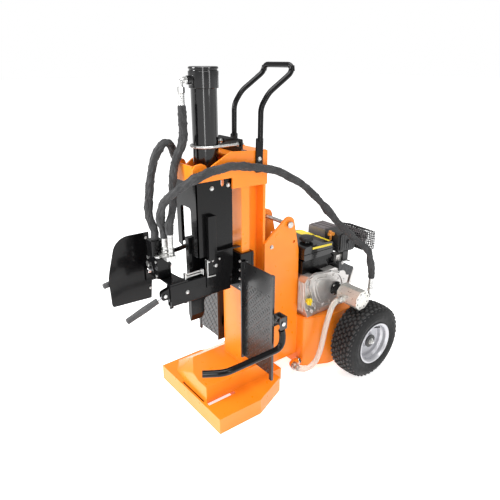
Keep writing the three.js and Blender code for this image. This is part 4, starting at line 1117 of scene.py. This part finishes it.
piece("engine_crankcase", merged(
    prism("x", -68, 148, CASE_SIDE),
    prism("x", 96, 149, FLANK),
    prism("x", 148.5, 157, COVER),
    prism("x", 156, 161, shrunk(COVER, 0.93)),
    prism("x", 160, 165, shrunk(COVER, 0.955), [hole(shrunk(COVER, 0.86))]),
    prism("x", 160, 167, shrunk(COVER, 0.70)),
    prism("x", 166, 169, shrunk(COVER, 0.56)),
    *[prism("x", 104 + i * 11, 108 + i * 11, flank_rib) for i in range(4)],
    prism("x", 24, 130, cylinder_side),
    prism("x", 22, 132, head_side),
    box(60, 112, 640, 684, 556, 577),
    *[box(-40 + i * 46, -28 + i * 46, 375, 640, 330.3, 338) for i in range(4)],
    *spokes(10, math.radians(-60), 161, 502, 462, box(-1, 5.5, -2, 2, 56, 92)),
    turned("x", [(0, 0), (30, 0), (30, 5), (26, 7), (0, 7)], 163, *DRIVE, 64),
    turned("x", [(10, 0), (18, 0), (17, 3), (10, 3), (10, 0)], 147, *OIL_PLUG, 40),
    box(146, 160, 395, 590, 352, 372),
), CASTING, stands_for="engine_block", bevel=1.2)
# Near-black fin colour: painted shade in the gaps between the fins.
piece("engine_fins", merged(
    *[prism("x", 18 + i * 8.6, 20.8 + i * 8.6, fin_side) for i in range(14)],
    *[box(18, 133, 604 + i * 13, 607 + i * 13, 556 - i * 5, 564 - i * 5) for i in range(7)],
    *[prism("x", 114 + i * 7, 116.6 + i * 7, fin_shroud) for i in range(6)],
), FINS, bevel=0.4)
piece("engine_bolts", merged(
    *cover_bolts,
    *[rod("z", 9, 9, x, y, 331, 24) for x in (-52, 132) for y in (392, 600)],
    nut("x", 9, 8, 149, 372, 378),
    nut("x", 7, 8, 148, 626, 372),
), ZINC)
piece("oil_plug_moulding", merged(
    rod("x", 9, 20, 138, *OIL_PLUG, 32),
    rod("x", 13, 13, 150.5, *OIL_PLUG, 32),
    placed(merged(ribbed_disc(19, 1.6, 16, 0, 7, 0, 0), pad("z", 6, 16, -17, 17, -3, 3, 2)),
           Matrix.Translation((164, *OIL_PLUG)) @ axis_matrix("x")),
), YELLOW, body="oil_filler_plug", stands_for="oil_filler_plug", bevel=0.5)

hood_side = rounded([(357, 568), (590, 568), (600, 600, 20), (585, 638), (357, 638)])
cowl_profile = rounder([(0, 0), (88, 0), (112, 24), (116, 92), (112, 92), (108, 24), (84, 4), (0, 4)], 7)
recoil_profile = rounder([(0, 0), (52, 0), (56, 4), (56, 12), (0, 12)], 2)
piece("blower_cowl", merged(
    turned("x", cowl_profile, -162, *BLOWER, 96),
    turned("x", recoil_profile, -171, *BLOWER, 64),
    prism("x", -120, 112, hood_side),
    pad("x", -122, -118, 380, 575, 560, 600, 8),
    *spokes(20, 0.0, -170.6, *BLOWER, box(-2.4, 0.8, -2.2, 2.2, 24, 52)),
), BLACK, stands_for="blower_housing", bevel=2.5, angle=38)
piece("blower_bolts", merged(
    *[bolt("x", -1, -158, *around(*BLOWER, 98, a), 5) for a in (0.4, 1.6, 2.8, 3.9, 5.3)],
), ZINC)


def waisted(run, angle, share):
    """A pull grip: thinner in the middle, with a rim at its start."""
    return 8.5 - 2.2 * math.sin(math.pi * share) + (1.2 if share < 0.06 else 0)


piece("starter_pull_grip", merged(
    sweep(spaced([Vector((-128, 330, 455)), Vector((-128, 376, 455))], 2.0), waisted, 28),
    rod("y", 2.4, 14, -128, 375, 455, 16),
), PLASTIC, body="starter_grip", stands_for="starter_grip")

TANK_SIDE = rounded([
    (357, 641, 14), (560, 641, 18), (574, 664, 10), (566, 706, 22), (470, 716, 20), (357, 714, 22),
])
piece("fuel_tank_shell", merged(
    prism("x", -119, 121, TANK_SIDE),
    turned("z", [(20, 0), (25, 0), (26, 2), (26, 18), (24, 20), (20, 20), (20, 0)], *FUEL_CAP, 706, 64),
), RAM, stands_for="fuel_tank", bevel=9.0, segments=5, angle=50)
seam_side = [(355, 672), (577, 668), (577, 671), (355, 675)]
piece("fuel_tank_seam", prism("x", -122, 124, seam_side), RAM, bevel=0.8)
piece("fuel_tank_stripes", merged(
    prism("x", 121.2, 122.0, [(414, 694), (552, 686), (552, 697), (414, 705)]),
    prism("x", -106, -8, [(486, 714.2), (552, 707.3), (552, 708.7), (486, 715.6)]),
    prism("x", 6, 110, [(536, 709.0), (552, 707.3), (552, 708.7), (536, 710.4)]),
), YELLOW)
piece("fuel_cap_moulding", merged(
    rod("z", 18.5, 18, *FUEL_CAP, 709, 40),
    ribbed_disc(36, 1.4, 30, 726.4, 740, *FUEL_CAP),
    turned("z", [(0, 0), (34.5, 0), (31, 4), (24, 6), (0, 6.2)], *FUEL_CAP, 740, 64),
), PLASTIC, body="fuel_cap", stands_for="fuel_cap", bevel=0.4)

cleaner_side = rounded([(582, 640, 14), (712, 632, 20), (717, 725, 22), (690, 745, 20), (582, 745, 20)])
piece("air_cleaner_cover", merged(
    prism("x", 46, 140, cleaner_side),
    prism("x", 138, 148, shrunk(cleaner_side, 0.86)),
    *[box(146, 149.5, 604 + i * 17, 610 + i * 17, 652, 732) for i in range(6)],
    box(100, 140, 625, 665, 577, 650),
    prism("x", 44, 142, rounded([(579, 672), (717.5, 664), (717.5, 669), (579, 677)], 2)),
), PLASTIC, stands_for="air_cleaner", bevel=3.0, segments=3)
piece("air_cleaner_knob", merged(
    placed(ribbed_disc(11, 1.2, 12, 0, 9, 0, 0), Matrix.Translation((148, 650, 692)) @ axis_matrix("x")),
), PLASTIC, bevel=0.6)

piece("exhaust_boxes", merged(
    pad("z", 690, 742, -84, 38, 586, 690, 12),
    rod("y", 12, 80, 25, 680, 708, 48),
    turned("x", rounder([(0, 0), (29, 0), (32, 4), (32, 132), (29, 136), (0, 136)], 3), 14, 776, 690, 64),
    turned("x", [(32, 0), (33.5, 1), (33.5, 5), (32, 6)], 76, 776, 690, 64),
    box(-20, 20, 640, 680, 577, 700),
    collar("x", 6, 9, 8, 149, 776, 690, 32),
), STEEL, stands_for="exhaust", bevel=2.0)
shield_slots = [hole(oblong(-60 + i * 24, -48 + i * 24, 604, 672, 4)) for i in range(4)]
piece("exhaust_shield", merged(
    box(-86, 40, 583, 585.5, 694, 741),
    prism("z", 743, 745, oblong(-78, 32, 590, 686, 6), shield_slots),
), STEEL, bevel=0.6)
piece("choke_knob", merged(
    rod("z", 6, 30, 92, 573, 702, 24), rod("z", 13, 12, 92, 568, 728, 32), rod("z", 9, 14, 92, 568, 739, 24),
    rod("x", 9, 16, 98, 572, 740, 32),
), AMBER)


def cage_loop(x):
    """The silencer guard's closed outline at one x."""
    ring = rounded([(726, 632, 22), (849, 604, 28), (849, 712, 30), (730, 746, 30)])
    return [Vector((x, y, z)) for y, z in [*ring, ring[0]]]


wires = [sweep(spaced(cage_loop(x), 5.0), 1.7, 8) for x in [4 + 161 * i / 13 for i in range(14)]]
at = spaced(cage_loop(0), 1.0)
for i in range(34):
    p = at[int(i * (len(at) - 1) / 34)]
    wires.append(sweep([Vector((4, p.y, p.z)), Vector((165, p.y, p.z))], 1.5, 8))
for k in range(8):
    for x in (4, 165):
        z = 636 + k * 13
        wires.append(sweep([Vector((x, 727, z)), Vector((x, 848, z - 26 + k * 1.6))], 1.5, 8))
        y = 738 + k * 14.5
        wires.append(sweep([Vector((x, y, 630 - k * 3.2)), Vector((x, y, 743 - k * 4.2))], 1.5, 8))
piece("silencer_wire_cage", merged(
    *wires,
    box(70, 96, 718.3, 729, 698, 700.5),
    box(120, 140, 718.3, 729, 698, 700.5),
), BLACK, stands_for="silencer_guard")
piece("throttle_arm", merged(
    rod("x", 10, 5, 150, 610, 583, 40),
    prism("x", 150, 152.5, rounded([(602, 579), (662, 578, 5), (662, 588, 5), (602, 588)], 2)),
    nut("x", 6, 4, 155, 610, 583),
    rod("x", 4.5, 12, 152, 657, 583, 24),
), ZINC, body="throttle", stands_for="throttle_lever", bevel=0.4)
piece("engine_plumbing", merged(
    sweep(smooth_path([(110, 560, 650), (124, 575, 628), (118, 596, 602), (92, 606, 590)]), 3.2, 16),
    sweep(smooth_path([(150, 588, 575), (140, 560, 590), (100, 548, 572), (60, 556, 562)]), 1.8, 12),
), PLASTIC)
piece("carburettor", merged(
    pad("x", 84, 128, 586, 634, 578, 622, 6),
    rod("z", 17, 30, 106, 612, 566, 40),
    nut("x", 7, 6, 128, 600, 600),
), CASTING, bevel=1.0)

# ------------------------------------------------------------------ coupling and pump
bell = rounder([(0, 0), (38, 0), (38, 7), (30, 13), (28, 50), (36, 56), (0, 56)], 2)
piece("coupling_housing", merged(turned("x", bell, 170.3, *DRIVE, 96)), BLACK, stands_for="coupling_bell")
quarters = (0.8, 2.36, 3.93, 5.5)
piece("coupling_bolts", merged(
    *[nut("x", 6, 6, 177.5, *around(*DRIVE, 32, a)) for a in quarters],
    *[nut("x", 5, 5, 215.5, *around(*DRIVE, 31, a)) for a in quarters],
), ZINC)
eighth = [(49, 20.5), (20.5, 49)]
half = [*eighth, *[(-u, v) for u, v in reversed(eighth)]]
octagon = [(DRIVE[0] + u, DRIVE[1] + v) for u, v in [*half, *[(-u, -v) for u, v in half]]]
bolt_places = [around(*DRIVE, 39, (i + 0.5) * math.pi / 4) for i in range(8)]
piece("pump_sections", merged(
    prism("x", 226.6, 244, octagon),
    prism("x", 243, 304, shrunk(octagon, 0.98)),
    prism("x", 303, 341, octagon),
    prism("x", 340.9, 355, shrunk(octagon, 0.995), [hole(circle(*place, 4.8, 24)) for place in bolt_places]),
    turned("y", [(0, 0), (13, 0), (15, 2), (15, 32), (0, 32)], 262, 473, 447, 48),
    disc("y", 20, 6, 262, 496, 447, 48),
    disc("y", 14, 32, 326, 588, 453, 48),
    disc("y", 19, 5, 326, 596, 453, 48),
), MACHINED, stands_for="gear_pump", bevel=1.0)
piece("pump_bolts", merged(*[rod("x", 4.7, 13.6, 341, *place, 24) for place in bolt_places]), PLASTIC)
piece("pump_suction_fitting", merged(
    nut("y", 19, 12, 262, 482, 447),
    rod("y", 17, 5, 262, 476, 447, 48),
), ZINC)
piece("pressure_elbow", merged(
    nut("y", 15, 10, 326, 620.4, 453),
    sweep(bent([(326, 624, 453), (326, 638, 453), (326, 638, 480)], 12), 10, 32),
    nut("z", 16, 20, 326, 638, 475),
    rod("z", 11, 6, 326, 638, 494, 40),
    ferrule(326, 638, 498, 549, 13.2),
), ZINC, stands_for="pump_elbow")
piece("suction_clamps", merged(
    collar("y", 14.2, 16.4, 11, 262, 459, 447, 64),
    rod("x", 4, 14, 256, 465, 464, 20),
    collar("x", 14.2, 16.4, 10, 167, 292, 66, 64),
    rod("y", 4, 12, 172, 286, 83, 20),
), ZINC)

# ------------------------------------------------------------------ hoses
HOSE_UPPER = [
    (0, -232, 1419.7), (0, -232, 1380), (0, -232, 1314), (-4, -238, 1268), (-10, -262, 1216),
    (-14, -277, 1160), (-18, -286, 1096), (-8, -292, 1040), (14, -312, 995), (22, -332, 945),
    (22, -332, 910.3),
]
HOSE_LOWER = [
    (-66, -358, 868.3), (-66, -358, 905), (-68, -376, 984), (-66, -366, 1088), (-64, -351, 1161),
    (-62, -326, 1232), (-64, -290, 1270), (-78, -254, 1264), (-102, -222, 1216), (-118, -190, 1160),
    (-112, -156, 1120), (-92, -131, 1106), (-88, -127, 1098), (-88, -127, 1078.3),
]
HOSE_PRESSURE = [
    (326, 638, 549.3), (326, 638, 585), (324, 620, 645), (326, 596, 705), (280, 532, 776), (236, 458, 860),
    (196, 385, 955), (164, 312, 1035), (138, 240, 1088), (122, 160, 1130), (118, 73, 1153), (116, -8, 1170),
    (116, -85, 1177), (116, -160, 1172), (115, -216, 1162), (106, -264, 1142), (78, -308, 1108),
    (36, -340, 1068), (4, -354, 1020), (-16, -350, 965), (-18, -338, 918), (-18, -338, 885.3),
]
HOSE_SUCTION = [
    (164.5, 292, 66), (186, 292, 66), (214, 318, 74), (230, 358, 104), (236, 386, 160), (240, 400, 230),
    (246, 408, 300), (252, 418, 360), (258, 430, 414), (262, 455, 447), (262, 472.7, 447),
]


def hose(name, corners, look, stands_for, radius, cloth, seed=0.0):
    """A hose along its route. A cloth sleeve lies on it in creases and ends in a gathered cuff."""
    path = spaced(smooth_path(corners, 3.0), 2.0)
    length = sum((b - a).length for a, b in zip(path, path[1:]))

    def sleeve(run, angle, share):
        twist = angle + run * 0.012 + seed
        folds = noise.noise(Vector((run * 0.012, 1.5 * math.cos(twist), 1.5 * math.sin(twist) + seed)))
        drift = run * 0.022 + 0.9 * math.sin(angle + seed)
        ridge = max(0.0, 1 - abs(noise.noise(Vector((drift, 1.1 * math.cos(angle), seed)))) * 3.4) ** 2
        pinch = noise.noise(Vector((run * 0.03, seed, 0.3)))
        fine = noise.noise(Vector((run * 0.09, 3.0 * math.cos(twist), 3.0 * math.sin(twist) + seed)))
        oval = math.cos(2 * (angle - run * 0.009 - seed))
        ends = min(1.0, min(run, length - run) / 30)
        cuff = -1.2 if min(run, length - run) < 3 else 0.0
        creases = 0.24 * folds + 0.16 * (ridge - 0.35) + 0.13 * pinch + 0.07 * fine + 0.06 * oval
        return radius * (1 + ends * creases) + cuff

    def plain(run, angle, share):
        return radius - 0.25 * (0.5 + 0.5 * math.cos(run * 2 * math.pi / 8 + angle))

    sides = 48
    shape = sweep(path, sleeve if cloth else plain, sides)
    uvs = []
    around = 2 * math.pi * radius * MM
    run = 0.0
    for a, b in zip(path, path[1:]):
        step = (b - a).length
        for k in range(sides):
            u0, u1 = around * k / sides, around * (k + 1) / sides
            v0, v1 = run * MM, (run + step) * MM
            uvs += [(u0, v0), (u1, v0), (u1, v1), (u0, v1)]
        run += step
    uvs += [(0, 0)] * (2 * sides)
    mesh = bpy.data.meshes.new(name)
    mesh.from_pydata([tuple(c * MM for c in p) for p in shape[0]], [], shape[1])
    layer = mesh.uv_layers.new(name="UVMap")
    for item, uv in zip(layer.data, uvs):
        item.uv = uv
    made = dressed(name, mesh, look, "frame", stands_for, 0, 60, 1)
    route = spaced(path, length / 36)


hose("hose_upper_sleeve", HOSE_UPPER, SLEEVE, "hose_upper", 17, True, 1.7)
hose("hose_lower_sleeve", HOSE_LOWER, SLEEVE, "hose_lower", 17, True, 5.1)
hose("hose_pressure_sleeve", HOSE_PRESSURE, SLEEVE, "hose_pressure", 17, True, 9.4)
hose("hose_suction_tube", HOSE_SUCTION, CLEAR, "hose_suction", 14, False)

# ------------------------------------------------------------------ floor and light
floor_mesh = bpy.data.meshes.new("floor")
floor_mesh.from_pydata([(-40, -40, 0), (40, -40, 0), (40, 40, 0), (-40, 40, 0)], [], [(0, 1, 2, 3)])
floor = bpy.data.objects.new("floor", floor_mesh)
floor.location.z = -0.0005
scene.collection.objects.link(floor)
floor_look = Look("floor", None, (0.93, 0.93, 0.93), 0.75, Specular_IOR_Level=0.2,
                  Emission_Color=(1, 1, 1, 1), Emission_Strength=0.72)
floor_mesh.materials.append(floor_look.material)

world = bpy.data.worlds.new("studio")
world.use_nodes = True
world_nodes = world.node_tree.nodes
background = world_nodes["Background"]
background.inputs["Color"].default_value = (1.0, 1.0, 1.0, 1)
light_path = world_nodes.new("ShaderNodeLightPath")
seen = world_nodes.new("ShaderNodeMapRange")
seen.inputs["To Min"].default_value = 0.5
world.node_tree.links.new(light_path.outputs["Is Camera Ray"], seen.inputs["Value"])
world.node_tree.links.new(seen.outputs["Result"], background.inputs["Strength"])
scene.world = world


def softbox(name, place, target, size, power):
    data = bpy.data.lights.new(name, "AREA")
    data.shape = "RECTANGLE"
    data.size, data.size_y = size
    data.energy = power
    light = bpy.data.objects.new(name, data)
    light.location = place
    light.rotation_euler = (Vector(target) - Vector(place)).to_track_quat("-Z", "Y").to_euler()
    scene.collection.objects.link(light)


softbox("key", (-1.3, -3.3, 2.6), (0, 0, 0.6), (1.2, 2.0), 165)
softbox("strip", (3.5, 0.7, 2.2), (0, 0.2, 0.7), (0.5, 2.2), 24)
softbox("front_strip", (2.55, -1.95, 1.9), (0, -0.1, 1.2), (0.3, 2.6), 26)
softbox("top", (0.2, 0.0, 4.2), (0, 0.1, 0), (2.6, 2.6), 110)
scene.view_settings.view_transform = "Standard"
scene.view_settings.look = "None"
scene.view_settings.exposure = 0.0
